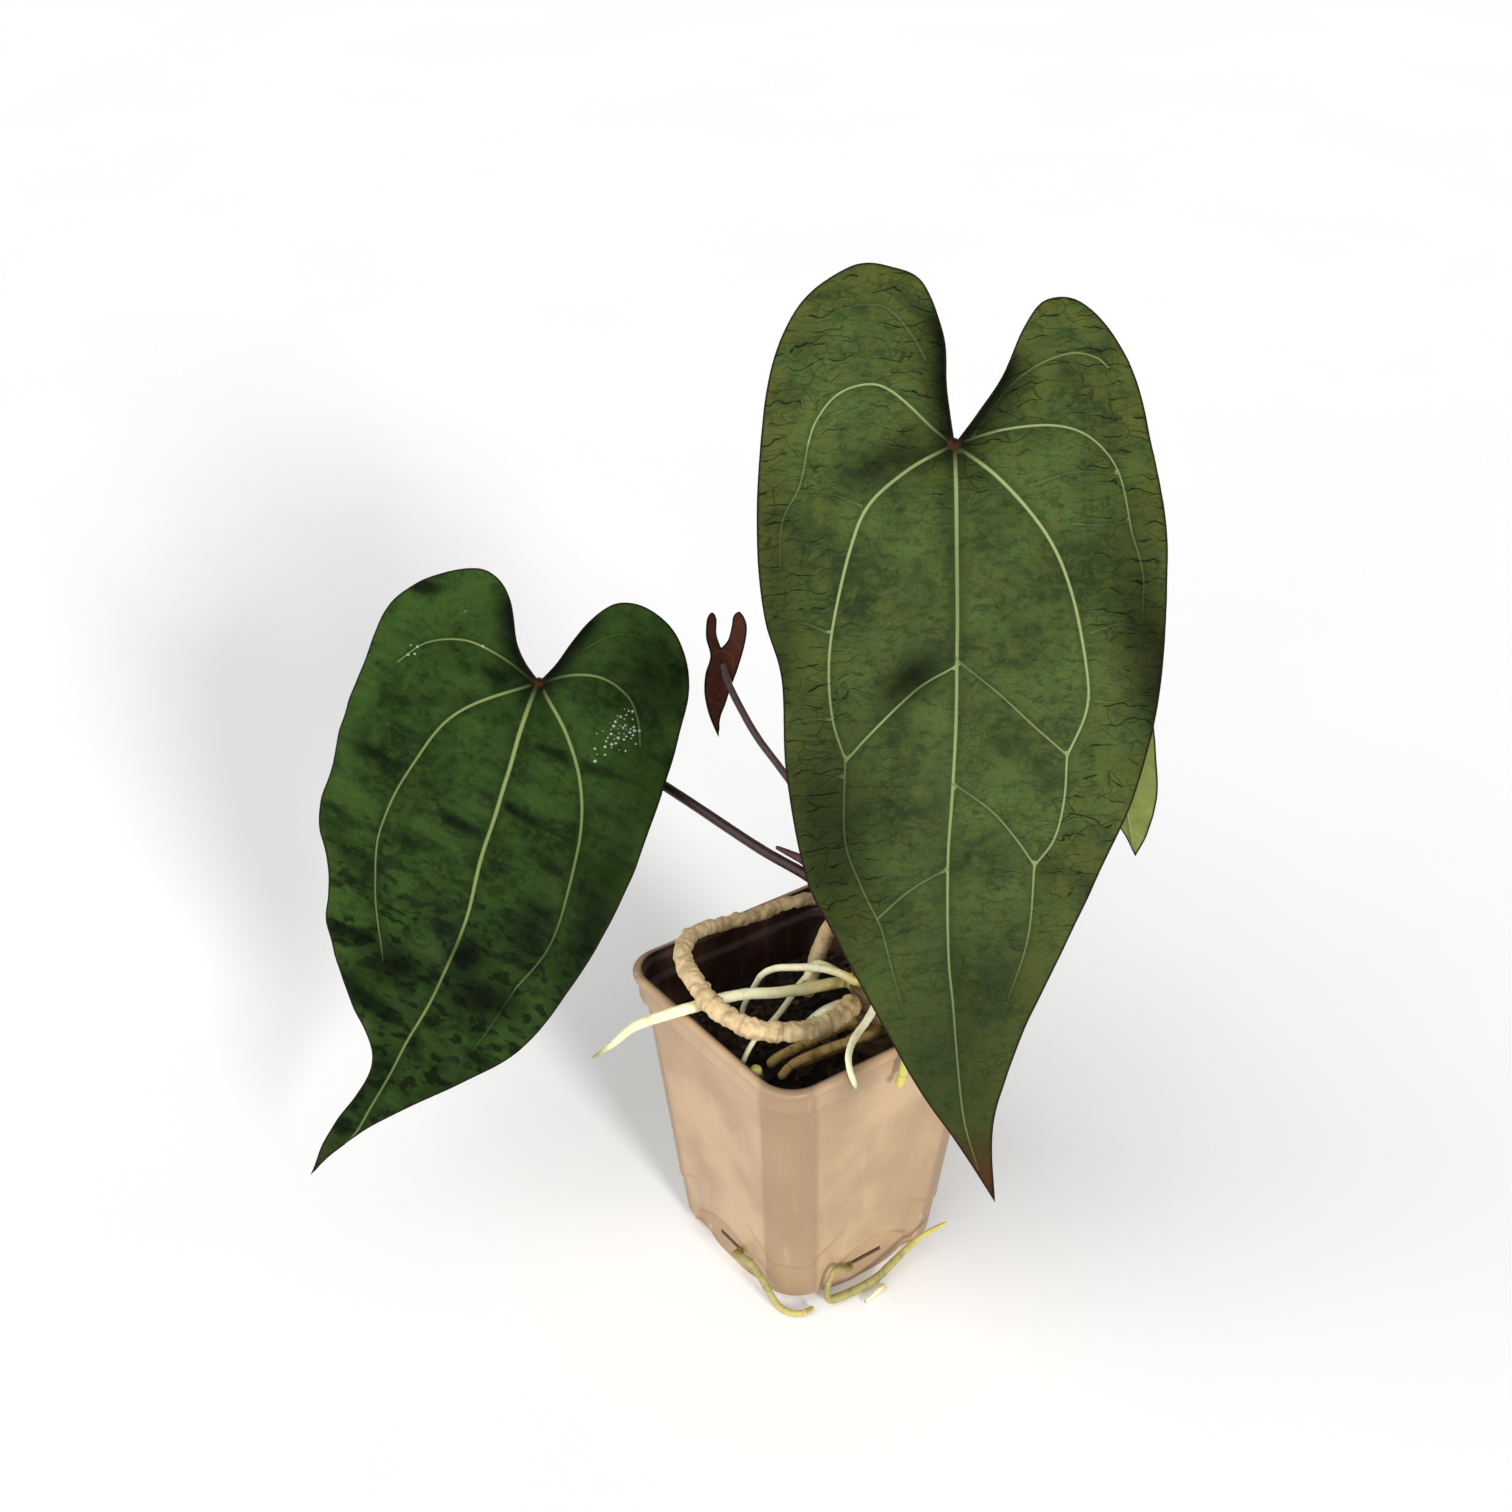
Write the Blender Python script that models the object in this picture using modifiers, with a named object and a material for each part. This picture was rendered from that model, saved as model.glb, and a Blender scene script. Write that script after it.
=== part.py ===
"""Potted anthurium: a young plant in a 7 cm square nursery pot.

Metres, +Z up. The origin is the centre of the pot's flat base, and the pot's sides
are parallel to X and Y. Each leaf, petiole, root and the pot is one closed solid.
"""

import math

import bmesh
import bpy
from mathutils import Vector

MM = 0.001

# Pot, in millimetres
POT_HEIGHT = 80.0
FOOT_HALF = 25.2
FOOT_CORNER = 17.0
BASE_HALF = 26.0
UNDERCUT = 3.5
SHOULDER_HEIGHT = 71.5
SHOULDER_HALF = 33.0
COLLAR_HALF = 34.2
LIP_HALF = 35.0
LIP_HEIGHT = 2.0
LIP_ROUNDING = 0.6
LIP_INSET = 0.5
COLLAR_STEP = 1.2
COLLAR_FLARE = 0.2
MOUTH_FLARE = 0.3
WALL_KNEE = 36.0
WALL = 1.3
FLOOR = 3.0
FLOOR_HALF = 24.0
FLOOR_CORNER = 13.0
FLOOR_EDGE = 8.0
BASE_CORNER = 10.0
TOP_CORNER = 10.5
LIP_CORNER = 9.5
CORNER_STEPS = 6
NICHE_HALF_WIDTH = 15.5
NICHE_HEIGHT = 13.5
NICHE_FACE = 24.9
NICHE_WALL = 1.3
NICHE_CUT_REACH = 16.0
NICHE_KEEP_REACH = 20.0
NICHE_SEGMENTS = 32
SLOT_WIDTH = 13.0
SLOT_HEIGHT = 4.0
SLOT_LEVEL = 6.0
PAST = 6.0

# Growing medium
GAP = 0.3
MEDIUM_TOP = 63.0
MEDIUM_SHOULDER = 4.0
MEDIUM_TOP_RINGS = [(27.5, -1.4), (22.0, -0.4), (15.0, 0.2), (8.0, 0.5)]
MEDIUM_RING_CORNER = 0.6
LUMP = 0.9
LUMP_TURN = 2.3
LUMP_DRIFT = 1.1

# Stem
STEM_X = 12.0
STEM_Y = 12.0
STEM_FOOT = 56.0
SOCKET_RADIUS = 7.2
SOCKET_DEPTH = 20.0
SOCKET_SEGMENTS = 16
STEM_POINTS = [(12, 12, 56), (12, 12, 70), (11.8, 12, 82), (12, 12.4, 92), (12.5, 13, 97)]
STEM_RADII = [5.6, 6.4, 6.3, 5.8, 4.6]

# Leaf blades: sinus, tip, the way the upper face looks, and how far the blade bends
BLADE_THICKNESS = 0.8
NEW_BLADE_THICKNESS = 0.7
GRID = 8.0
NEW_GRID = 4.0
GRID_LIMITS = [(-60, 60), (-60, 180)]
CUT_TOLERANCE = 0.001
LARGE_SINUS = (17, 24, 224)
LARGE_TIP = (91, -20, 84)
LARGE_FACE = (0.66, -0.54, 0.52)
LARGE_BEND = (10.0, 4.0, 7.0, 44.0)
LARGE_LEFT = [
    (1, -12), (1, -24), (5, -36), (12, -40), (20, -41), (29, -36), (35, -29), (40, -16),
    (43, 4), (44, 22), (43, 37), (40, 50), (40, 70), (37, 92), (32, 104), (23, 123),
    (15, 139), (7, 152),
]
LARGE_RIGHT = [
    (-5, -6), (-11, -14), (-16, -24), (-21, -30), (-28, -30), (-35, -23), (-40, -11),
    (-43, 8), (-44, 24), (-42, 44), (-39, 61), (-33, 79), (-24, 96), (-16, 111),
    (-8, 126), (-3, 138), (0, 149),
]
LARGE_MIDRIB = [(0, 0), (3, 50), (7, 90), (8, 112), (6, 143), (0, 164)]
LEFT_SINUS = (-82, -27, 138)
LEFT_TIP = (-69, -111, 24)
LEFT_FACE = (0.61, -0.60, 0.51)
LEFT_BEND = (9.0, 5.0, 8.0, 46.0)
LEFT_LEFT = [
    (8, -5), (15, -15), (22, -20), (29, -19), (38, -12), (44, -3), (44, 8), (42, 26),
    (39, 43), (36, 54), (28, 65), (20, 80), (11, 90), (0, 99), (-4, 106), (-4, 115),
    (-1, 127),
]
LEFT_RIGHT = [
    (-3, -9), (-5, -19), (-10, -27), (-19, -29), (-29, -25), (-37, -14), (-40, 0),
    (-43, 18), (-45, 36), (-45, 52), (-43, 68), (-38, 86), (-28, 100), (-18, 112),
    (-9, 124), (-3, 135),
]
LEFT_MIDRIB = [(0, 0), (-4, 25), (-9, 52), (-12, 75), (-10, 102), (-6, 126), (0, 142)]
NEW_SINUS = (-72, 24, 136)
NEW_TIP = (-65, 18, 114)
NEW_FACE = (-0.75, 0.50, -0.20)
NEW_BEND = (1.5, -3.5, 0.0, 6.0)
NEW_LEFT = [
    (-1.4, -4), (-1.5, -8), (-2.7, -9.8), (-4, -8), (-4.1, -3), (-2.8, 2), (-4, 7),
    (-4.1, 12), (-3, 17), (-1.4, 21),
]
NEW_RIGHT = [
    (1.8, -2.5), (2.6, -6), (3, -9), (4.6, -10.2), (6.4, -7), (6.2, -2), (4.6, 5),
    (3, 10), (1.6, 15), (0.3, 19),
]
NEW_MIDRIB = [(0, 0), (0, 12), (0, 23)]
BACK_SINUS = (15, 66, 170)
BACK_TIP = (38, 72, 109)
BACK_FACE = (-0.35, 0.90, 0.10)
BACK_BEND = (5.0, 1.5, 3.0, 16.0)
BACK_LEFT = [
    (-3, -6), (-6, -11), (-9.5, -12.5), (-13, -7), (-14, 2), (-14, 14), (-13, 28),
    (-10, 42), (-6.5, 52), (-2.4, 60),
]
BACK_RIGHT = [
    (3, -6), (6, -11), (9.5, -12), (12.5, -7), (13.5, 2), (13.5, 14), (12.5, 26),
    (10.5, 38), (8.6, 50), (4, 60),
]
BACK_MIDRIB = [(0, 0), (0, 30), (0, 65)]

# Petioles: centre line and radius at each point
PETIOLE_LARGE = [
    (12.6, 13.4, 98.3), (11, 18, 118), (7.5, 24, 150), (5, 28, 180), (5.5, 30, 204),
    (9, 29.5, 216), (13, 27, 221), (16, 24.8, 223.3),
]
PETIOLE_LARGE_RADII = [2.4, 2.0, 1.9, 1.8, 1.8, 2.0, 2.2, 1.9]
PETIOLE_LEFT = [
    (5.0, 15.0, 92), (-3, 12.2, 97), (-13, 8, 101.4), (-26, 3, 104.5),
    (-47, -3, 109.4), (-65, -8, 113.4), (-75, -11, 117), (-82, -15, 122.4),
    (-86, -20, 130), (-86, -24, 135), (-82.9, -26.2, 137.2),
]
PETIOLE_LEFT_RADII = [1.8, 1.5, 1.4, 1.35, 1.3, 1.3, 1.3, 1.4, 1.7, 1.8, 1.5]
PETIOLE_NEW = [
    (6.8, 17.4, 88), (-4, 21, 93), (-18, 24, 98), (-43, 25, 109), (-55, 24, 116),
    (-61.5, 23, 122.5), (-66, 22, 129), (-68.3, 22, 133.8),
]
PETIOLE_NEW_RADII = [1.3, 1.1, 1.0, 1.0, 1.0, 1.0, 0.95, 0.8]
PETIOLE_BACK = [
    (14, 19.9, 90), (16, 30, 112), (18, 44, 138), (18, 54, 155), (17.2, 60, 165),
    (16.2, 64.2, 169.5),
]
PETIOLE_BACK_RADII = [1.6, 1.3, 1.2, 1.2, 1.4, 1.2]
SHEATH = [(4.8, 14.4, 98.2), (-2, 13.4, 101.6), (-13, 9, 104.6), (-22, 5.2, 106.2)]
SHEATH_RADII = [1.9, 1.8, 1.3, 0.5]

# Roots: centre line and radius at each point
ROOT_LOOP = [
    (7.2, 18.2, 82), (1, 22.5, 83), (-9, 26, 83.6), (-18, 25.5, 83.6), (-24, 20, 83.4),
    (-26, 11, 84), (-25, 2, 85), (-26, -9, 86), (-26.6, -16, 86.4), (-24.6, -21, 86.8),
    (-18, -26.6, 87.4), (-8, -30, 88), (0, -31, 87), (7, -30, 86), (12, -27, 84.5),
    (15, -22, 83), (17, -15, 81.5), (17, -8, 80.5), (15.5, -2, 80), (13, 4.2, 79.5),
]
ROOT_LOOP_RADII = [2.0, 1.9, 1.8, 1.8, 1.7, 1.7, 1.75, 1.8, 1.9, 2.1, 2.2, 2.4, 2.5, 2.5,
                   2.5, 2.5, 2.5, 2.4, 2.5, 2.8]
ROOT_PALE = [
    (4.2, 8.6, 78), (3.4, 4, 79), (3, -5, 81), (1, -12, 81.8), (-3, -19, 82),
    (-5, -26, 82), (-6, -32, 82), (-7.5, -40, 82), (-8, -48, 82), (-6.5, -55, 81),
    (-6, -61, 80),
]
ROOT_PALE_RADII = [1.6, 1.5, 1.5, 1.4, 1.4, 1.45, 1.5, 1.45, 1.3, 1.0, 0.35]
ROOT_ARCH = [
    (12, 4.8, 84.4), (10, 1, 87.5), (7, -3, 89), (3, -8, 89), (-1.5, -10.5, 87),
    (-4.5, -12, 84), (-7, -12.6, 79), (-9.5, -14, 72), (-10, -14.5, 66.5),
]
ROOT_ARCH_RADII = [1.1, 1.0, 1.0, 0.9, 0.85, 0.8, 0.75, 0.7, 0.6]
ROOT_HOOK = [
    (8.2, 4.6, 84), (4.6, 0.4, 87), (1.6, -0.4, 85.6), (0.4, -1.6, 82), (-1.6, -3, 78),
    (0, -8, 75.5), (1.6, -13, 74), (2.4, -18, 72.5), (3.4, -22, 70), (4.6, -25, 67),
]
ROOT_HOOK_RADII = [1.0, 1.0, 0.9, 0.9, 0.8, 0.8, 0.75, 0.7, 0.65, 0.6]
ROOT_BRANCH = [(7.4, 6.2, 74.6), (4, 3.6, 72.4), (1.5, 1.2, 69.5), (-0.5, -1.5, 65.8)]
ROOT_BRANCH_RADII = [1.1, 1.0, 1.0, 0.9]
ROOT_AERIAL = [
    (4.0, 11.2, 85), (-1.5, 13.2, 88), (-7, 15, 88), (-10, 14.4, 85), (-11, 12.4, 80),
    (-11.4, 10, 73.5), (-9, 5.6, 66.4),
]
ROOT_AERIAL_RADII = [2.4, 2.3, 2.3, 2.2, 2.2, 2.1, 1.9]
ROOT_LOW_FRONT = [
    (18.5, 5.6, 72), (19, -1, 73.4), (17.6, -8, 73), (14.8, -16, 70.6), (14.2, -20.5, 67.4),
]
ROOT_LOW_MIDDLE = [(13.4, 4.2, 68.4), (14.8, -2, 69), (14, -9, 68.6), (12, -14, 66.6)]
ROOT_LOW_BACK = [
    (9.4, 4.4, 70), (9.6, -2, 70), (8.6, -9, 69), (7.4, -15, 67.4), (7.4, -19, 66.2),
]
ROOT_LOW_RADII = [1.4, 1.3, 1.3, 1.2, 1.1]
ROOT_LOW_MIDDLE_RADII = [1.4, 1.3, 1.2, 1.1]
ROOT_WHITE = [
    (16.5, 5.8, 84.6), (20, 3, 86.2), (24.5, 0.5, 86.6), (28, -5, 86.4), (31, -11, 86),
    (34, -15, 85), (36.2, -16.4, 83), (37.2, -16, 80), (37, -14.6, 76),
]
ROOT_WHITE_RADII = [1.1, 1.0, 1.0, 0.95, 0.9, 0.8, 0.75, 0.7, 0.3]
ROOT_OVER_RIM = [
    (19.4, 11.6, 82), (26, 8.4, 85.4), (32, 4.4, 85.6), (36.4, 1.2, 83), (37.4, -0.4, 77),
    (37.2, -1.8, 71),
]
ROOT_OVER_RIM_RADII = [1.2, 1.15, 1.15, 1.15, 1.2, 1.15]
ROOT_STUB = [(10.8, -23.6, 66.6), (12.6, -26, 70.4), (15, -28.2, 74.6)]
ROOT_STUB_RADII = [1.2, 1.4, 1.6]
DRAIN_LEFT = [
    (4, -24.2, 6), (5, -27.4, 6.4), (8, -29.2, 9.5), (13, -29.6, 11.8), (17.6, -29.2, 10.4),
    (21, -28.2, 6), (23.6, -27.2, 2.6), (26.2, -25.4, 1.4), (28, -22.8, 1.3),
    (28, -19.4, 1.3),
]
DRAIN_LEFT_RADII = [1.0, 1.0, 1.1, 1.15, 1.15, 1.1, 1.1, 1.05, 0.95, 0.8]
DRAIN_FRONT = [
    (24.2, -5, 6), (27, -6.6, 6.8), (29, -10.5, 10.3), (29.6, -14, 12.4),
    (29.4, -15.6, 8.5), (29, -15.8, 4.4), (29, -14.6, 2), (29.6, -11, 1.7),
    (30.2, -5, 1.8), (30.4, 0.5, 2.8), (29.8, 6, 4.4), (29.6, 11, 6.4), (30.4, 15.5, 8.8),
    (33, 20.5, 12),
]
DRAIN_FRONT_RADII = [0.8, 0.8, 0.8, 0.8, 0.8, 0.95, 1.4, 1.4, 1.4, 1.3, 1.2, 1.05, 0.9, 0.6]
DRAIN_TIP = [(32.6, 0.4, 1.4), (33.4, -3, 1.2), (34.2, -7.6, 1.0)]
DRAIN_TIP_RADII = [0.7, 0.6, 0.35]

STEPS_PER_SPAN = 3
OUTLINE_STEPS = 2
TUBE_BEVEL_RESOLUTION = 2
WELD_DISTANCE = 0.00001


def clear_scene():
    """Remove every object from the scene."""
    for obj in list(bpy.data.objects):
        bpy.data.objects.remove(obj, do_unlink=True)


def make_collection(name, cutter=False):
    """Link a new collection to the scene."""
    group = bpy.data.collections.new(name)
    group.hide_render = cutter
    bpy.context.scene.collection.children.link(group)
    return group


def make_material(name, color, roughness, metallic=0.0):
    """A Principled material."""
    material = bpy.data.materials.new(name)
    material.use_nodes = True
    shader = material.node_tree.nodes["Principled BSDF"]
    shader.inputs["Base Color"].default_value = (*color, 1.0)
    shader.inputs["Roughness"].default_value = roughness
    shader.inputs["Metallic"].default_value = metallic
    material.diffuse_color = (*color, 1.0)
    return material


def shade_smooth(mesh):
    """Round pieces shade smooth."""
    mesh.polygons.foreach_set("use_smooth", [True] * len(mesh.polygons))


def add_mesh(name, bm, group, material=None, smooth=False):
    """Turn a bmesh into a named object."""
    mesh = bpy.data.meshes.new(name)
    bm.to_mesh(mesh)
    bm.free()
    obj = bpy.data.objects.new(name, mesh)
    group.objects.link(obj)
    if material is not None:
        mesh.materials.append(material)
    if smooth:
        shade_smooth(mesh)
    return obj


def add_cutter(name, bm, group):
    """A hidden solid used by a Boolean."""
    obj = add_mesh(name, bm, group)
    obj.hide_render = True
    obj.display_type = 'WIRE'
    return obj


def add_boolean(obj, other, operation='DIFFERENCE'):
    """Join or cut with another mesh."""
    modifier = obj.modifiers.new(operation.lower() + "_" + other.name, 'BOOLEAN')
    modifier.operation = operation
    modifier.solver = 'EXACT'
    modifier.object = other


def smooth_path(points, steps, closed=False):
    """A curve that passes through the points, with even steps in each span."""
    points = [Vector(p) for p in points]
    if closed:
        before, after = points[-1:], points[:2]
    else:
        before = [points[0] * 2 - points[1]]
        after = [points[-1] * 2 - points[-2]]
    chain = before + points + after
    path = []
    for i in range(1, len(chain) - 2):
        a, b, c, d = chain[i - 1], chain[i], chain[i + 1], chain[i + 2]
        for k in range(steps):
            t = k / steps
            path.append(0.5 * (2 * b + (c - a) * t + (2 * a - 5 * b + 4 * c - d) * t**2
                               + (3 * b - a - 3 * c + d) * t**3))
    if not closed:
        path.append(points[-1])
    return path


def make_tube(name, points, radii, group, material, steps=STEPS_PER_SPAN):
    """A closed tube along a smooth path, with its own radius at each point."""
    path = smooth_path(points, steps)
    widths = [w.x for w in smooth_path([(r, 0, 0) for r in radii], steps)]
    curve = bpy.data.curves.new(name, 'CURVE')
    curve.dimensions = '3D'
    curve.bevel_depth = MM
    curve.bevel_resolution = TUBE_BEVEL_RESOLUTION
    curve.use_fill_caps = True
    spline = curve.splines.new('POLY')
    spline.points.add(len(path) - 1)
    for point, place, width in zip(spline.points, path, widths):
        point.co = (*(place * MM), 1.0)
        point.radius = width
    curve.materials.append(material)
    obj = bpy.data.objects.new(name, curve)
    group.objects.link(obj)
    bpy.context.view_layer.update()
    graph = bpy.context.evaluated_depsgraph_get()
    mesh = bpy.data.meshes.new_from_object(obj.evaluated_get(graph))
    place = obj.matrix_world.copy()
    bpy.data.objects.remove(obj, do_unlink=True)
    bm = bmesh.new()
    bm.from_mesh(mesh)
    bmesh.ops.remove_doubles(bm, verts=bm.verts, dist=WELD_DISTANCE)
    bm.to_mesh(mesh)
    bm.free()
    mesh.name = name
    shade_smooth(mesh)
    solid = bpy.data.objects.new(name, mesh)
    solid.matrix_world = place
    group.objects.link(solid)
    return solid


def rounded_square(half, corner, level):
    """Corners of a rounded square, anticlockwise from the +X side."""
    ring = []
    for quarter in range(4):
        turn = quarter * math.pi / 2
        centre = Vector((half - corner, half - corner, 0))
        for k in range(CORNER_STEPS + 1):
            angle = k * math.pi / 2 / CORNER_STEPS
            spot = centre + corner * Vector((math.cos(angle), math.sin(angle), 0))
            x = spot.x * math.cos(turn) - spot.y * math.sin(turn)
            y = spot.x * math.sin(turn) + spot.y * math.cos(turn)
            ring.append((x * MM, y * MM, level * MM))
    return ring


def loft(sections):
    """A closed solid through rings of equal count."""
    bm = bmesh.new()
    rings = [[bm.verts.new(p) for p in ring] for ring in sections]
    for low, high in zip(rings, rings[1:]):
        for k in range(len(low)):
            j = (k + 1) % len(low)
            bm.faces.new((low[k], low[j], high[j], high[k]))
    bm.faces.new(list(reversed(rings[0])))
    bm.faces.new(rings[-1])
    bmesh.ops.recalc_face_normals(bm, faces=bm.faces)
    return bm


def wall_half(level, inset=0.0):
    """Half side of the tapered wall at a height."""
    share = level / SHOULDER_HEIGHT
    return BASE_HALF + (SHOULDER_HALF - BASE_HALF) * share - inset


def niche_solid(grow, reach):
    """Arched recess at the foot of the +X side, as an elliptic cylinder along X."""
    bm = bmesh.new()
    bmesh.ops.create_cone(bm, cap_ends=True, segments=NICHE_SEGMENTS, radius1=MM, radius2=MM,
                          depth=reach * MM)
    for vert in bm.verts:
        across, up, along = vert.co.x, vert.co.y, vert.co.z
        vert.co.x = (NICHE_FACE - grow + reach / 2) * MM + along
        vert.co.y = across * (NICHE_HALF_WIDTH + grow)
        vert.co.z = up * (NICHE_HEIGHT + grow)
    bmesh.ops.recalc_face_normals(bm, faces=bm.faces)
    return bm


def box_solid(centre, size):
    """An upright box, in millimetres."""
    bm = bmesh.new()
    bmesh.ops.create_cube(bm, size=1.0)
    for vert in bm.verts:
        for axis in range(3):
            vert.co[axis] = (centre[axis] + vert.co[axis] * size[axis]) * MM
    return bm


def turned(bm, quarter):
    """Turn a solid about Z by quarters."""
    for vert in bm.verts:
        x, y = vert.co.x, vert.co.y
        for _ in range(quarter):
            x, y = -y, x
        vert.co.x, vert.co.y = x, y
    return bm


def make_pot(group, cutters, material):
    """Square pot: tapered wall, collar with a rolled lip, arched niches and drain slots."""
    outer = [
        rounded_square(FOOT_HALF, FOOT_CORNER, 0),
        rounded_square(wall_half(UNDERCUT), BASE_CORNER, UNDERCUT),
        rounded_square(wall_half(WALL_KNEE), (BASE_CORNER + TOP_CORNER) / 2, WALL_KNEE),
        rounded_square(SHOULDER_HALF, TOP_CORNER, SHOULDER_HEIGHT),
        rounded_square(COLLAR_HALF, TOP_CORNER, SHOULDER_HEIGHT + COLLAR_STEP),
        rounded_square(COLLAR_HALF + COLLAR_FLARE, TOP_CORNER, POT_HEIGHT - LIP_HEIGHT),
        rounded_square(LIP_HALF, LIP_CORNER, POT_HEIGHT - LIP_HEIGHT + LIP_ROUNDING),
        rounded_square(LIP_HALF, LIP_CORNER, POT_HEIGHT - LIP_ROUNDING),
        rounded_square(LIP_HALF - LIP_INSET, LIP_CORNER, POT_HEIGHT),
    ]
    inner = [
        rounded_square(FLOOR_HALF, FLOOR_CORNER, FLOOR),
        rounded_square(wall_half(FLOOR_EDGE, WALL), BASE_CORNER - WALL, FLOOR_EDGE),
        rounded_square(SHOULDER_HALF - WALL, TOP_CORNER - WALL, SHOULDER_HEIGHT),
        rounded_square(COLLAR_HALF - WALL, TOP_CORNER - WALL, SHOULDER_HEIGHT + COLLAR_STEP),
        rounded_square(COLLAR_HALF - WALL + MOUTH_FLARE, TOP_CORNER - WALL, POT_HEIGHT + PAST),
    ]
    pot = add_mesh("pot", loft(outer), group, material)
    cavity = add_cutter("cavity", loft(inner), cutters)
    for quarter in range(4):
        keep = add_cutter(f"niche_wall_{quarter}",
                          turned(niche_solid(NICHE_WALL, NICHE_KEEP_REACH), quarter), cutters)
        add_boolean(cavity, keep)
    add_boolean(pot, cavity)
    for quarter in range(4):
        niche = add_cutter(f"niche_{quarter}",
                           turned(niche_solid(0, NICHE_CUT_REACH), quarter), cutters)
        slot = box_solid((NICHE_FACE, 0, SLOT_LEVEL), (PAST, SLOT_WIDTH, SLOT_HEIGHT))
        slot = add_cutter(f"slot_{quarter}", turned(slot, quarter), cutters)
        add_boolean(pot, niche)
        add_boolean(pot, slot)
    return pot


def make_medium(group, cutters, material):
    """Bark and peat that fill the pot to below the rim, with a socket for the stem."""
    inset = WALL + GAP
    rings = [
        rounded_square(FLOOR_HALF - GAP, FLOOR_CORNER, FLOOR + GAP),
        rounded_square(wall_half(FLOOR_EDGE, inset), BASE_CORNER - inset, FLOOR_EDGE + GAP),
    ]
    shoulder = MEDIUM_TOP - MEDIUM_SHOULDER
    rings.append(rounded_square(wall_half(shoulder, inset), TOP_CORNER - inset, shoulder))
    for half, rise in MEDIUM_TOP_RINGS:
        ring = rounded_square(half, half * MEDIUM_RING_CORNER, MEDIUM_TOP + rise)
        lumpy = []
        for k, (x, y, z) in enumerate(ring):
            lump = LUMP * math.sin(LUMP_TURN * k + half) * math.cos(LUMP_DRIFT * k - half)
            lumpy.append((x, y, z + lump * MM))
        rings.append(lumpy)
    medium = add_mesh("growing_medium", loft(rings), group, material)
    for quarter in range(4):
        keep = turned(niche_solid(NICHE_WALL + GAP, NICHE_KEEP_REACH), quarter)
        add_boolean(medium, add_cutter(f"medium_niche_{quarter}", keep, cutters))
    bm = bmesh.new()
    bmesh.ops.create_cone(bm, cap_ends=True, segments=SOCKET_SEGMENTS,
                          radius1=SOCKET_RADIUS * MM, radius2=SOCKET_RADIUS * MM,
                          depth=SOCKET_DEPTH * MM)
    centre = Vector((STEM_X, STEM_Y, STEM_FOOT - GAP + SOCKET_DEPTH / 2))
    bmesh.ops.translate(bm, verts=bm.verts, vec=centre * MM)
    add_boolean(medium, add_cutter("stem_socket", bm, cutters))
    return medium


def midrib_offset(midrib, y):
    """Sideways place of the midrib at a distance from the sinus."""
    if y <= midrib[0][1]:
        return midrib[0][0]
    for (x0, y0), (x1, y1) in zip(midrib, midrib[1:]):
        if y <= y1:
            return x0 + (x1 - x0) * (y - y0) / (y1 - y0)
    return midrib[-1][0]


def blade_height(x, y, length, bend, midrib):
    """Height of the blade over the chord from the sinus to the tip."""
    arch, rise, fall, half = bend
    share = y / length
    lobe = 0.5 if y < 0 else 1.0
    side = abs(x - midrib_offset(midrib, y)) / half
    return arch * lobe * 4 * share * (1 - share) + rise * side - fall * side**2


def make_leaf(name, sinus, tip, face, left, right, midrib, bend, thickness, grid,
              group, material):
    """A blade cut from its outline, bent in both directions and given a thickness."""
    sinus, tip = Vector(sinus), Vector(tip)
    along = (tip - sinus).normalized()
    length = (tip - sinus).length
    up = Vector(face)
    up = (up - along * up.dot(along)).normalized()
    across = along.cross(up)
    edges = []
    for side in (left, right):
        points = [(0, 0, 0)] + [(x, y, 0) for x, y in side] + [(0, length, 0)]
        edges.append(smooth_path(points, OUTLINE_STEPS))
    outline = edges[0] + list(reversed(edges[1][1:-1]))
    bm = blade_cells(outline, grid)
    for vert in bm.verts:
        x, y = vert.co.x, vert.co.y
        z = blade_height(x, y, length, bend, midrib)
        vert.co = (sinus + across * x + along * y + up * z) * MM
    bmesh.ops.recalc_face_normals(bm, faces=bm.faces)
    obj = add_mesh(name, bm, group, material, smooth=True)
    solid = obj.modifiers.new("thickness", 'SOLIDIFY')
    solid.thickness = thickness * MM
    solid.offset = 0.0
    return obj


def blade_cells(outline, grid):
    """The flat outline, cut into cells by lines in both directions."""
    bm = bmesh.new()
    bm.faces.new([bm.verts.new(p) for p in outline])
    for axis, (low, high) in enumerate(GRID_LIMITS):
        level = low + grid / 2
        while level < high:
            spot = Vector((0, 0, 0))
            spot[axis] = level
            normal = Vector((0, 0, 0))
            normal[axis] = 1
            everything = bm.verts[:] + bm.edges[:] + bm.faces[:]
            bmesh.ops.bisect_plane(bm, geom=everything, plane_co=spot, plane_no=normal,
                                   dist=CUT_TOLERANCE)
            level += grid
    bmesh.ops.triangulate(bm, faces=bm.faces[:], ngon_method='BEAUTY')
    return bm


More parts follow.
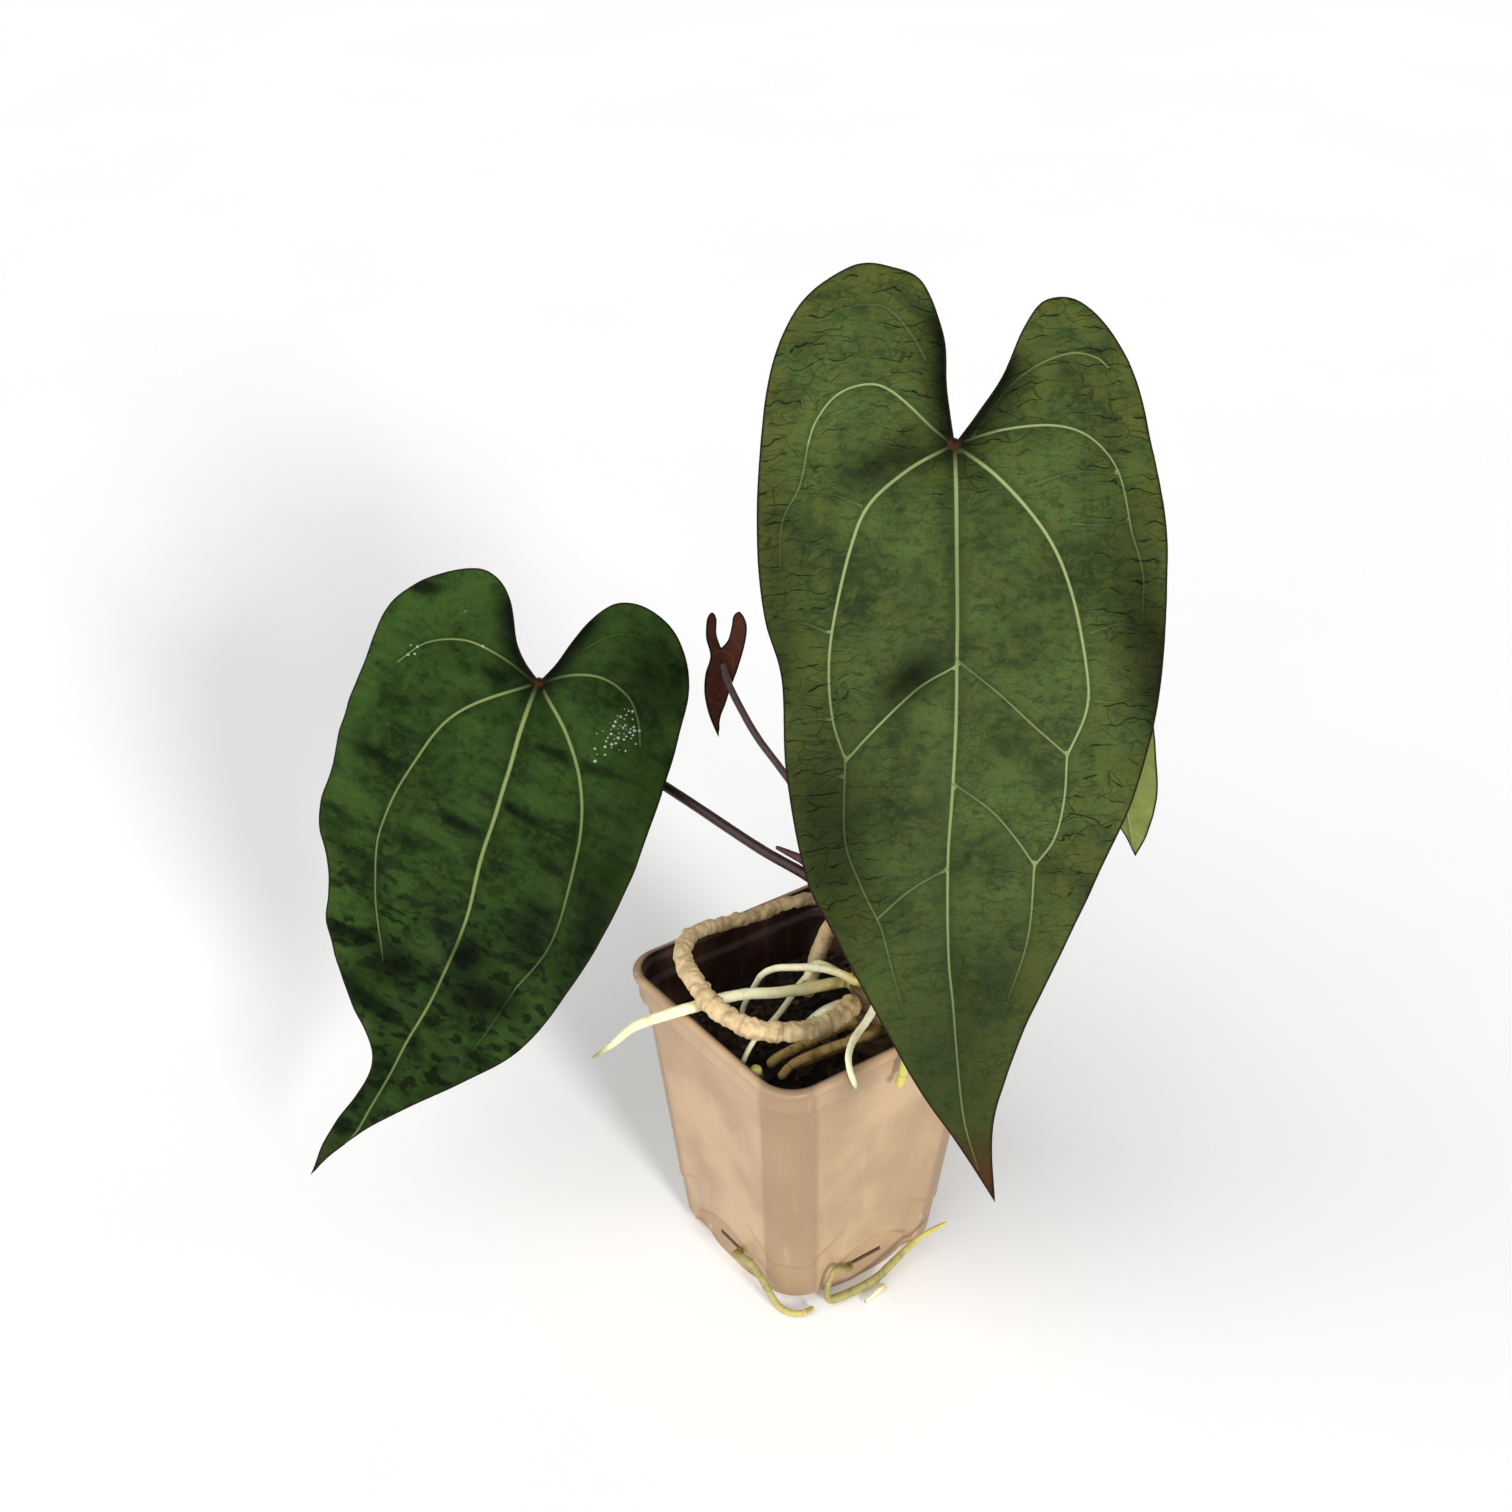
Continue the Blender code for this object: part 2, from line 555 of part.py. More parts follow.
def main():
    """Build every piece."""
    clear_scene()
    group = make_collection("potted_anthurium")
    cutters = make_collection("cutters", cutter=True)
    taupe = make_material("pot_taupe", (0.60, 0.45, 0.32), 0.35)
    bark = make_material("bark_medium", (0.035, 0.022, 0.014), 0.95)
    crown = make_material("stem_brown", (0.16, 0.10, 0.05), 0.8)
    green = make_material("blade_green", (0.030, 0.055, 0.016), 0.45)
    deep = make_material("blade_deep_green", (0.018, 0.045, 0.012), 0.4)
    russet = make_material("blade_russet", (0.13, 0.035, 0.02), 0.45)
    olive = make_material("blade_olive", (0.10, 0.16, 0.035), 0.5)
    purple = make_material("petiole_purple", (0.025, 0.010, 0.012), 0.4)
    grey_purple = make_material("petiole_grey_purple", (0.10, 0.06, 0.06), 0.5)
    wine = make_material("sheath_wine", (0.09, 0.015, 0.015), 0.5)
    tan = make_material("root_tan", (0.46, 0.30, 0.14), 0.75)
    cream = make_material("root_cream", (0.72, 0.62, 0.30), 0.55)
    brown = make_material("root_brown", (0.26, 0.15, 0.05), 0.75)
    lime = make_material("root_lime", (0.60, 0.55, 0.06), 0.5)

    make_pot(group, cutters, taupe)
    make_medium(group, cutters, bark)
    make_tube("stem", STEM_POINTS, STEM_RADII, group, crown)

    leaves = (
        ("leaf_large", LARGE_SINUS, LARGE_TIP, LARGE_FACE, LARGE_LEFT, LARGE_RIGHT,
         LARGE_MIDRIB, LARGE_BEND, BLADE_THICKNESS, GRID, green),
        ("leaf_left", LEFT_SINUS, LEFT_TIP, LEFT_FACE, LEFT_LEFT, LEFT_RIGHT,
         LEFT_MIDRIB, LEFT_BEND, BLADE_THICKNESS, GRID, deep),
        ("leaf_new", NEW_SINUS, NEW_TIP, NEW_FACE, NEW_LEFT, NEW_RIGHT,
         NEW_MIDRIB, NEW_BEND, NEW_BLADE_THICKNESS, NEW_GRID, russet),
        ("leaf_back", BACK_SINUS, BACK_TIP, BACK_FACE, BACK_LEFT, BACK_RIGHT,
         BACK_MIDRIB, BACK_BEND, BLADE_THICKNESS, GRID, olive),
    )
    for *shape, material in leaves:
        make_leaf(*shape, group, material)

    tubes = (
        ("petiole_large", PETIOLE_LARGE, PETIOLE_LARGE_RADII, purple),
        ("petiole_left", PETIOLE_LEFT, PETIOLE_LEFT_RADII, purple),
        ("petiole_new", PETIOLE_NEW, PETIOLE_NEW_RADII, grey_purple),
        ("petiole_back", PETIOLE_BACK, PETIOLE_BACK_RADII, purple),
        ("cataphyll", SHEATH, SHEATH_RADII, wine),
        ("root_loop", ROOT_LOOP, ROOT_LOOP_RADII, tan),
        ("root_pale", ROOT_PALE, ROOT_PALE_RADII, cream),
        ("root_arch", ROOT_ARCH, ROOT_ARCH_RADII, cream),
        ("root_hook", ROOT_HOOK, ROOT_HOOK_RADII, cream),
        ("root_branch", ROOT_BRANCH, ROOT_BRANCH_RADII, cream),
        ("root_aerial", ROOT_AERIAL, ROOT_AERIAL_RADII, tan),
        ("root_low_front", ROOT_LOW_FRONT, ROOT_LOW_RADII, brown),
        ("root_low_middle", ROOT_LOW_MIDDLE, ROOT_LOW_MIDDLE_RADII, brown),
        ("root_low_back", ROOT_LOW_BACK, ROOT_LOW_RADII, brown),
        ("root_white", ROOT_WHITE, ROOT_WHITE_RADII, cream),
        ("root_over_rim", ROOT_OVER_RIM, ROOT_OVER_RIM_RADII, lime),
        ("root_stub", ROOT_STUB, ROOT_STUB_RADII, lime),
        ("drain_root_left", DRAIN_LEFT, DRAIN_LEFT_RADII, lime),
        ("drain_root_front", DRAIN_FRONT, DRAIN_FRONT_RADII, lime),
        ("drain_root_tip", DRAIN_TIP, DRAIN_TIP_RADII, cream),
    )
    for name, points, radii, material in tubes:
        make_tube(name, points, radii, group, material)


main()
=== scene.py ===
"""Finished surfaces of a young potted anthurium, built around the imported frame.

Shapes are worked out in millimetres, in the frame's own axes, and stored in metres.
"""

from __future__ import annotations

import logging
import math
from dataclasses import dataclass, field
from enum import Enum

import bmesh
import bpy
import numpy as np
from mathutils import Matrix, Vector, noise
from mathutils.geometry import delaunay_2d_cdt


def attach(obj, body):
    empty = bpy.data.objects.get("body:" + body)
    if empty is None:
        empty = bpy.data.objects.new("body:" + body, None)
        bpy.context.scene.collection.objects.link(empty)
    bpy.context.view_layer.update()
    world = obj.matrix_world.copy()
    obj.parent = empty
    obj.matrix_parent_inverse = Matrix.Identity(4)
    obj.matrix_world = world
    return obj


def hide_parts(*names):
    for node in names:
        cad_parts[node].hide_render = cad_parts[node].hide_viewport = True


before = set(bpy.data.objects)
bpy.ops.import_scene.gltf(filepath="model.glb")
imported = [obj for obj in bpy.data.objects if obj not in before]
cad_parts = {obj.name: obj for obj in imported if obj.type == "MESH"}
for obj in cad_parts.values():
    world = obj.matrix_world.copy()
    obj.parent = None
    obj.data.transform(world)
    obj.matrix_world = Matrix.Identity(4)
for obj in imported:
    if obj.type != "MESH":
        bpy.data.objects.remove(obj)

LOG = logging.getLogger("anthurium")
MM = 0.001
PER_MM = 1000.0
STEM_AXIS = (12.0, 12.2)
STEM_REACH = 11.0
SOCKET_DROP = 3.0
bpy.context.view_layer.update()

Point2 = tuple[float, float]
Point3 = tuple[float, float, float]
Color = tuple[float, float, float]


# ---------------------------------------------------------------- node graphs


class Wire:
    """A node's output socket that takes part in Python expressions."""

    def __init__(self, graph: Graph, socket: bpy.types.NodeSocket) -> None:
        """Keep the socket and the graph that it belongs to."""
        self.graph = graph
        self.socket = socket

    def math(self, operation: str, *values: Wire | float) -> Wire:
        """Add a Math node.

        Args:
            operation: The node's operation.
            values: What it works on.

        Returns:
            The result.
        """
        return self.graph.add("ShaderNodeMath", {"operation": operation}, dict(enumerate(values)))

    def __add__(self, other: Wire | float) -> Wire:
        """Sum."""
        return self.math("ADD", self, other)

    def __radd__(self, other: float) -> Wire:
        """Sum."""
        return self.math("ADD", other, self)

    def __sub__(self, other: Wire | float) -> Wire:
        """Difference."""
        return self.math("SUBTRACT", self, other)

    def __rsub__(self, other: float) -> Wire:
        """Difference."""
        return self.math("SUBTRACT", other, self)

    def __mul__(self, other: Wire | float) -> Wire:
        """Product."""
        return self.math("MULTIPLY", self, other)

    def __rmul__(self, other: float) -> Wire:
        """Product."""
        return self.math("MULTIPLY", other, self)

    def __truediv__(self, other: Wire | float) -> Wire:
        """Quotient."""
        return self.math("DIVIDE", self, other)

    def __rtruediv__(self, other: float) -> Wire:
        """Quotient."""
        return self.math("DIVIDE", other, self)

    def most(self, other: Wire | float) -> Wire:
        """The larger of two values."""
        return self.math("MAXIMUM", self, other)

    def rise(self, low: float, high: float) -> Wire:
        """Go smoothly from 0 to 1, either way round.

    Args:
        values: The values to ease.
        low: Where the result is 0.
        high: Where the result is 1.

    Returns:
        The eased values.
    """
        settings = {"interpolation_type": "SMOOTHSTEP"}
        inputs = {"Value": self, "From Min": low, "From Max": high}
        return self.graph.add("ShaderNodeMapRange", settings, inputs)

    def output(self, name: str) -> Wire:
        """Another output of the same node."""
        return Wire(self.graph, find_socket(self.socket.node.outputs, name))


def find_socket(sockets: bpy.types.bpy_prop_collection, key: str | int) -> bpy.types.NodeSocket:
    """Pick a socket by its name, or by its place, among those in use.

    Args:
        sockets: A node's inputs or outputs.
        key: The name or the place.

    Returns:
        The socket.
    """
    live = [s for s in sockets if s.enabled]
    return live[key] if isinstance(key, int) else next(s for s in live if s.name == key)


class Graph:
    """A node tree that grows by expressions."""

    def __init__(self, tree: bpy.types.NodeTree) -> None:
        """Start from a tree."""
        self.tree = tree

    def add(self, kind: str, settings: dict | None = None, inputs: dict | None = None,
            output: str | int = 0) -> Wire:
        """Add a node.

        Args:
            kind: The node's type.
            settings: Its properties.
            inputs: Values or wires for its sockets, by name or place.
            output: The output that is wanted.

        Returns:
            That output.
        """
        node = self.tree.nodes.new(kind)
        for name, value in (settings or {}).items():
            setattr(node, name, value)
        for key, value in (inputs or {}).items():
            self.feed(find_socket(node.inputs, key), value)
        return Wire(self, find_socket(node.outputs, output))

    def scale(self, vector: Wire, factor: Wire | float) -> Wire:
        """Multiply a vector by one number."""
        return self.add("ShaderNodeVectorMath", {"operation": "SCALE"},
                        {0: vector, "Scale": factor})

    def feed(self, socket: bpy.types.NodeSocket, value: object) -> None:
        """Give a socket what it reads.

        Args:
            socket: The socket.
            value: A wire to link to it, or the value that it keeps.
        """
        if isinstance(value, Wire):
            self.tree.links.new(value.socket, socket)
        elif socket.type == "RGBA" and len(value) == 3:
            socket.default_value = (*value, 1.0)
        else:
            socket.default_value = value


class Paint(Graph):
    """A material whose surface is one Principled shader."""

    def __init__(self, name: str) -> None:
        """Start an empty material.

        Args:
            name: The material's name.
        """
        self.material = bpy.data.materials.new(name)
        self.material.use_nodes = True
        super().__init__(self.material.node_tree)
        self.shader = self.tree.nodes["Principled BSDF"]

    def attribute(self, name: str, output: str = "Fac") -> Wire:
        """Read an attribute of the mesh."""
        return self.add("ShaderNodeAttribute", {"attribute_name": name}, output=output)

    def place(self) -> Wire:
        """Object coordinates in millimetres."""
        spot = self.add("ShaderNodeTexCoord", output="Object")
        return self.scaled(spot, (PER_MM, PER_MM, PER_MM))

    def scaled(self, vector: Wire, factors: Point3) -> Wire:
        """Multiply a vector part by part."""
        return self.add("ShaderNodeVectorMath", {"operation": "MULTIPLY"}, {0: vector, 1: factors})

    def shifted(self, vector: Wire, offset: Wire | Point3) -> Wire:
        """Add to a vector."""
        return self.add("ShaderNodeVectorMath", {"operation": "ADD"}, {0: vector, 1: offset})

    def mix(self, share: Wire | float, first: Wire | Color, second: Wire | Color) -> Wire:
        """Mix two colours.

        Args:
            share: How much of the second.
            first: The colour underneath.
            second: The colour on top.

        Returns:
            The mixed colour.
        """
        inputs = {"Factor": share, "A": first, "B": second}
        return self.add("ShaderNodeMix", {"data_type": "RGBA"}, inputs, "Result")

    def grain(self, vector: Wire, length: float, detail: float = 3.0,
              roughness: float = 0.55) -> Wire:
        """Add noise.

        Args:
            vector: Where it is read.
            length: About how far across its lumps are, in the vector's own units.
            detail: How many finer layers it has.
            roughness: How strong the finer layers are.

        Returns:
            The noise, from 0 to 1.
        """
        inputs = {"Vector": vector, "Scale": 1.0 / length, "Detail": detail,
                  "Roughness": roughness}
        return self.add("ShaderNodeTexNoise", {}, inputs)

    def cells(self, vector: Wire, feature: str) -> Wire:
        """Distances in a cell pattern one unit wide."""
        return self.add("ShaderNodeTexVoronoi", {"feature": feature},
                        {"Vector": vector, "Scale": 1.0}, "Distance")

    def bands(self, along: Wire, pitch: float, detail: float, roughness: float = 0.5) -> Wire:
        """Noise that changes only along a stalk or a root."""
        return self.add("ShaderNodeTexNoise", {"noise_dimensions": "1D"},
                        {"W": along, "Scale": pitch, "Detail": detail, "Roughness": roughness})

    def bump(self, height: Wire, strength: float = 1.0) -> Wire:
        """A normal from heights in millimetres."""
        return self.add("ShaderNodeBump", {},
                        {"Height": height, "Distance": MM, "Strength": strength})

    def finish(self, **sockets: object) -> bpy.types.Material:
        """Feed the shader's sockets, named with underscores for spaces.

        Args:
            sockets: A value or wire for each socket.

        Returns:
            The material.
        """
        for name, value in sockets.items():
            self.feed(find_socket(self.shader.inputs, name.replace("_", " ")), value)
        return self.material


class Pattern(Graph):
    """A Geometry Nodes tree with named inputs."""

    def __init__(self, name: str) -> None:
        """Start a tree that takes and gives geometry.

        Args:
            name: The tree's name.
        """
        super().__init__(bpy.data.node_groups.new(name, "GeometryNodeTree"))
        for way in ("INPUT", "OUTPUT"):
            self.tree.interface.new_socket("Geometry", in_out=way,
                                           socket_type="NodeSocketGeometry")
        self.entry = self.tree.nodes.new("NodeGroupInput")
        self.exit = self.tree.nodes.new("NodeGroupOutput")
        self.identifiers: dict[str, str] = {}

    def source(self) -> Wire:
        """The geometry that comes in."""
        return Wire(self, self.entry.outputs["Geometry"])

    def knob(self, name: str, value: float, kind: str = "NodeSocketFloat") -> Wire:
        """Add a named input.

        Args:
            name: Its name.
            value: Its usual value.
            kind: Its socket type.

        Returns:
            The wire that carries it.
        """
        item = self.tree.interface.new_socket(name, in_out="INPUT", socket_type=kind)
        item.default_value = value
        self.identifiers[name] = item.identifier
        return Wire(self, self.entry.outputs[name])

    def named(self, name: str) -> Wire:
        """Read a number that the geometry carries."""
        return self.add("GeometryNodeInputNamedAttribute", {"data_type": "FLOAT"}, {"Name": name})

    def keep(self, geometry: Wire, name: str, value: Wire, domain: str = "POINT") -> Wire:
        """Store a number on the geometry.

        Args:
            geometry: The geometry.
            name: The name that the number is stored under.
            value: The number.
            domain: What carries it.

        Returns:
            The geometry with the number.
        """
        return self.add("GeometryNodeStoreNamedAttribute",
                        {"data_type": "FLOAT", "domain": domain},
                        {"Geometry": geometry, "Name": name, "Value": value})

    def chance(self, low: Wire | float | Point3, high: Wire | float | Point3, seed: Wire) -> Wire:
        """Pick a random number or vector for each point.

        Args:
            low: The least it can be.
            high: The most it can be.
            seed: What the draws start from.

        Returns:
            The random value.
        """
        kind = "FLOAT_VECTOR" if isinstance(low, tuple) else "FLOAT"
        return self.add("FunctionNodeRandomValue", {"data_type": kind},
                        {"Min": low, "Max": high, "Seed": seed})

    def strew(self, where: Wire, spacing: Wire, density: float, share: Wire | float,
              seed: Wire) -> Wire:
        """Scatter points over the faces that come in.

        Args:
            where: Which faces get points.
            spacing: The least distance between points.
            density: The most points for each square metre.
            share: How many of those each place gets.
            seed: What the draws start from.

        Returns:
            The points.
        """
        return self.add("GeometryNodeDistributePointsOnFaces", {"distribute_method": "POISSON"},
                        {"Mesh": self.source(), "Selection": where, "Distance Min": spacing,
                         "Density Max": density, "Density Factor": share, "Seed": seed})

    def close(self, geometry: Wire, material: bpy.types.Material) -> None:
        """End the tree in Realize Instances and Set Material.

        Args:
            geometry: The geometry that the tree gives.
            material: Its material.
        """
        real = self.add("GeometryNodeRealizeInstances", {}, {"Geometry": geometry})
        dressed = self.add("GeometryNodeSetMaterial", {},
                           {"Geometry": real, "Material": material})
        self.feed(self.exit.inputs["Geometry"], dressed)

    def grow(self, host: bpy.types.Object, name: str, sizes: dict[str, float]) -> bpy.types.Object:
        """Turn a host object into the plain mesh that the tree makes of it.

        Args:
            host: The curve or mesh that the tree starts from. It is removed.
            name: The new object's name.
            sizes: Values for the named inputs.

        Returns:
            The new object.
        """
        modifier = host.modifiers.new("pattern", "NODES")
        modifier.node_group = self.tree
        for knob, value in sizes.items():
            modifier[self.identifiers[knob]] = value
        bpy.context.view_layer.update()
        graph = bpy.context.evaluated_depsgraph_get()
        mesh = bpy.data.meshes.new_from_object(host.evaluated_get(graph), depsgraph=graph)
        host.modifiers.remove(modifier)
        bpy.data.objects.remove(host, do_unlink=True)
        mesh.name = name
        return link_object(name, mesh)


# ---------------------------------------------------------------- shapes


def link_object(name: str, data: bpy.types.ID | None) -> bpy.types.Object:
    """Make an object at the origin and link it to the scene.

    Args:
        name: Its name.
        data: What it shows.

    Returns:
        The object.
    """
    obj = bpy.data.objects.new(name, data)
    bpy.context.scene.collection.objects.link(obj)
    return obj


def smooth_path(points: list, steps: int) -> list[Vector]:
    """A curve through points, with even steps in each span.

    Args:
        points: The points that it passes through.
        steps: Steps in each span.

    Returns:
        The points of the curve.
    """
    points = [Vector(p) for p in points]
    chain = [points[0] * 2 - points[1], *points, points[-1] * 2 - points[-2]]
    path = []
    for a, b, c, d in zip(chain, chain[1:], chain[2:], chain[3:]):
        for k in range(steps):
            t = k / steps
            path.append(0.5 * (2 * b + (c - a) * t + (2 * a - 5 * b + 4 * c - d) * t**2
                               + (3 * b - a - 3 * c + d) * t**3))
    path.append(points[-1])
    return path


def flat_path(points: list[Point2]) -> np.ndarray:
    """A smooth flat curve through points, as one row for each place on it."""
    return np.array([tuple(p.to_2d()) for p in smooth_path([(x, y, 0) for x, y in points], 6)])


def even_path(path: list[Vector], spacing: float) -> list[Vector]:
    """Points at even spacing along a path, its ends included.

    Args:
        path: The path.
        spacing: The spacing wanted.

    Returns:
        The evenly spaced points.
    """
    places = np.array([tuple(p) for p in path])
    lengths = np.linalg.norm(np.diff(places, axis=0), axis=1)
    along = np.concatenate([[0.0], np.cumsum(lengths)])
    count = max(2, round(along[-1] / spacing) + 1)
    marks = np.linspace(0.0, along[-1], count)
    return [Vector(p) for p in np.stack([np.interp(marks, along, c) for c in places.T], 1)]


def distance_to(path: np.ndarray, spots: np.ndarray) -> tuple[np.ndarray, np.ndarray]:
    """Distance from each spot to a flat path, and how far along it the nearest place is.

    Args:
        path: Points of the path, one row each.
        spots: Points to measure from, one row each.

    Returns:
        The distances, and the shares of the path from 0 to 1.
    """
    nearest = np.full(len(spots), 1e9)
    share = np.zeros(len(spots))
    lengths = np.linalg.norm(np.diff(path, axis=0), axis=1)
    along = np.concatenate([[0.0], np.cumsum(lengths)])
    for a, b, start, length in zip(path, path[1:], along, lengths):
        step = (b - a) / max(length, 1e-9)
        reach = np.clip((spots - a) @ step, 0.0, length)
        gap = np.linalg.norm(spots - a - reach[:, None] * step, axis=1)
        closer = gap < nearest
        nearest[closer] = gap[closer]
        share[closer] = (start + reach[closer]) / along[-1]
    return nearest, share


def inside(loop: np.ndarray, spots: np.ndarray) -> np.ndarray:
    """Whether each spot lies inside a closed flat outline.

    Args:
        loop: The outline, its first point repeated at the end.
        spots: The points to test.

    Returns:
        True for each spot inside.
    """
    found = np.zeros(len(spots), bool)
    for (ax, ay), (bx, by) in zip(loop, loop[1:]):
        if ay == by:
            continue
        spans = (ay > spots[:, 1]) != (by > spots[:, 1])
        found ^= spans & (spots[:, 0] < (bx - ax) * (spots[:, 1] - ay) / (by - ay) + ax)
    return found


def ease(values: np.ndarray | float, low: float, high: float) -> np.ndarray:
    """Go smoothly from 0 at low to 1 at high, either way round."""
    t = np.clip((values - low) / (high - low), 0.0, 1.0)
    return t * t * (3.0 - 2.0 * t)


def lumps(spots: np.ndarray, scales: Point3, seed: float) -> np.ndarray:
    """Smooth noise at each spot, from about -1 to 1.

    Args:
        spots: Points, one row of two or three numbers each.
        scales: Lump size along each axis.
        seed: Moves to another part of the noise.

    Returns:
        One value for each spot.
    """
    full = np.zeros((len(spots), 3))
    full[:, :spots.shape[1]] = spots
    full = full / np.array(scales) + seed
    return np.array([noise.noise(Vector(p)) for p in full])


def store(mesh: bpy.types.Mesh, name: str, values: np.ndarray) -> None:
    """Store a number or a vector at each vertex.

    Args:
        mesh: The mesh.
        name: The name that they are stored under.
        values: One number or one row for each vertex.
    """
    kind = "FLOAT_VECTOR" if values.ndim == 2 else "FLOAT"
    layer = mesh.attributes.new(name, kind, "POINT")
    layer.data.foreach_set("vector" if values.ndim == 2 else "value",
                           np.ascontiguousarray(values, np.float32).ravel())


def settle(piece: bpy.types.Object, slot: str, *nodes: str) -> bpy.types.Object:
    """Ride the plant's one body and stand for CAD nodes.

    Args:
        piece: The finished piece.
        slot: The record's material slot; not used.
        nodes: The CAD nodes that the piece stands for.

    Returns:
        The piece.
    """
    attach(piece, "root")
    if nodes:
        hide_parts(*nodes)
    LOG.info("%s: %d faces", piece.name, len(piece.data.polygons))
    return piece


# ---------------------------------------------------------------- finishes


class LeafPaint(Paint):
    """A blade's material, with the readings and noises that its colours share."""

    def __init__(self, name: str, length: float) -> None:
        """Start the material.

        Args:
            name: The material's name.
            length: The blade's length.
        """
        super().__init__(name)
        self.length = length
        leaf = self.attribute("leaf", "Vector")
        parts = self.add("ShaderNodeSeparateXYZ", {}, {"Vector": leaf})
        self.along = parts.output("Y")
        self.margin = parts.output("Z")
        self.flat = self.scaled(leaf, (1.0, 1.0, 0.0))
        self.vein = self.attribute("vein")
        self.tone = self.attribute("tone")
        self.core = self.vein.rise(0.90, 0.42)
        self.wander = self.add("ShaderNodeTexNoise", {},
                               {"Vector": self.flat, "Scale": 0.16, "Detail": 2.0}, "Color")
        self.bent = self.shifted(self.flat, self.scaled(self.wander, (3.0, 3.0, 0.0)))
        self.cloud = self.grain(self.flat, 21.0, 3.0)
        self.mottle = self.grain(self.shifted(self.flat, (31.0, 7.0, 0.0)), 8.5, 5.0, 0.66)
        self.fleck = self.grain(self.flat, 1.7, 3.0, 0.7)
        self.net = self.cells(self.scaled(self.bent, (1 / 8.0, 1 / 3.2, 1.0)),
                              "DISTANCE_TO_EDGE")

    def reach(self, low: float, high: float) -> Wire:
        """Go from 0 to 1 between two shares of the blade's length."""
        return self.along.rise(low * self.length, high * self.length)


@dataclass(frozen=True)
class LeafFinish:
    """Skin of a blade: mottled green, pale veins, dark cracks and a fine dark margin, with painted
    shade and painted light over its folds and hollows.
    """

    deep: Color
    middle: Color
    olive: Color
    edge: Color
    vein: Color
    under: Color
    under_vein: Color
    tip: Color = (0.055, 0.016, 0.008)
    margin: Color = (0.020, 0.010, 0.008)
    # Near-black: painted shade, and also the colour of the cracks.
    shade: Color = (0.0015, 0.0030, 0.0012)
    joint: Color = (0.13, 0.035, 0.014)
    roughness: float = 0.50
    specular: float = 0.028
    cracks: float = 1.0
    crack_gap: float = 3.9
    # How strongly painted shade darkens the pits between the blisters.
    pit_shade: float = 0.0
    fade: float = 0.45
    blister: float = 0.10
    length: float = 164.0

    def dress(self, name: str) -> bpy.types.Material:
        """Build the material.

        Args:
            name: The material's name.

        Returns:
            The material.
        """
        paint = LeafPaint(name, self.length)
        crack, dark = self.crackle(paint)
        skin = self.veined(paint, paint.mix(dark, self.ground(paint), self.shade))
        upper = paint.attribute("side").rise(-0.4, 0.4)
        color = paint.mix(upper, self.underside(paint), skin)
        color = paint.mix(paint.margin.rise(0.65, 0.15), color, self.margin)
        grit = paint.grain(paint.flat, 0.55, 2.0)
        domes = paint.cells(paint.scaled(paint.bent, (1 / 3.4, 1 / 2.1, 1.0)), "SMOOTH_F1")
        height = (1.0 - domes) * self.blister + grit * 0.035 - crack * 0.10
        rough = (paint.fleck * 0.16 + self.roughness - 0.08) + (1.0 - upper) * 0.12
        return paint.finish(Base_Color=color, Roughness=rough, Specular_IOR_Level=self.specular,
                            Normal=paint.bump(height, 0.9))

    def ground(self, paint: LeafPaint) -> Wire:
        """Mix the mottled green of the upper face.

        Args:
            paint: The blade's material.

        Returns:
            The colour.
        """
        skin = paint.mix(paint.cloud.rise(0.30, 0.66), self.deep, self.middle)
        skin = paint.mix(paint.mottle.rise(0.46, 0.66) * 0.75, skin, self.olive)
        skin = paint.mix(paint.fleck.rise(0.54, 0.70) * 0.40, skin, self.edge)
        skin = paint.mix(paint.fleck.rise(0.46, 0.32) * 0.50, skin, self.deep)
        tile = paint.grain(paint.scaled(paint.bent, (1 / 3.4, 1 / 2.0, 1.0)), 1.0, 4.0, 0.62)
        skin = paint.mix(tile.rise(0.52, 0.63) * 0.42, skin, self.olive)
        skin = paint.mix(tile.rise(0.48, 0.37) * 0.50, skin, self.deep)
        outer = paint.margin.rise(17.0, 3.0) * paint.mottle.rise(0.34, 0.60)
        skin = paint.mix(outer * 0.55, skin, self.edge)
        return paint.mix(paint.reach(0.40, 0.85) * self.fade, skin, self.deep)

    def crackle(self, paint: LeafPaint) -> tuple[Wire, Wire]:
        """Lay cracks across the blade, fine hairs between them and painted shade in the pits
        between the blisters.

        Args:
            paint: The blade's material.

        Returns:
            The cracks alone, and all that is dark.
        """
        # Painted shade in the pits between the blisters, on the middle of the blade.
        pit = paint.grain(paint.scaled(paint.bent, (1 / 5.5, 1 / 3.0, 1.0)), 1.0, 2.0)
        pit = pit.rise(0.50, 0.60) * paint.reach(0.18, 0.55)
        fine = paint.cells(paint.scaled(paint.bent, (1 / 2.6, 1 / 1.5, 1.0)), "DISTANCE_TO_EDGE")
        where = paint.grain(paint.shifted(paint.flat, (5.0, 61.0, 0.0)), 9.0, 2.0)
        zone = (paint.margin.rise(26.0, 8.0) * 0.85 + 0.15) * where.rise(0.30, 0.50)
        rows = (paint.along + paint.wander * 9.0 + paint.margin * 0.10) / self.crack_gap
        rows = rows.math("ABSOLUTE", rows.math("FRACT", rows) - 0.5)
        dash = paint.grain(paint.scaled(paint.flat, (1 / 7.0, 1 / 2.2, 1.0)), 1.0, 2.0)
        dash = rows.rise(0.060, 0.016) * dash.rise(0.45, 0.52)
        crack = (paint.net.rise(0.024, 0.004) * 0.6).most(dash)
        crack = crack * (zone * paint.reach(0.85, 0.50)) * self.cracks
        hair = fine.rise(0.07, 0.0) * (where.rise(0.40, 0.64) * 0.5 + 0.14) * self.cracks
        return crack, (crack * 0.88).most(hair * 0.6).most(pit * self.pit_shade)

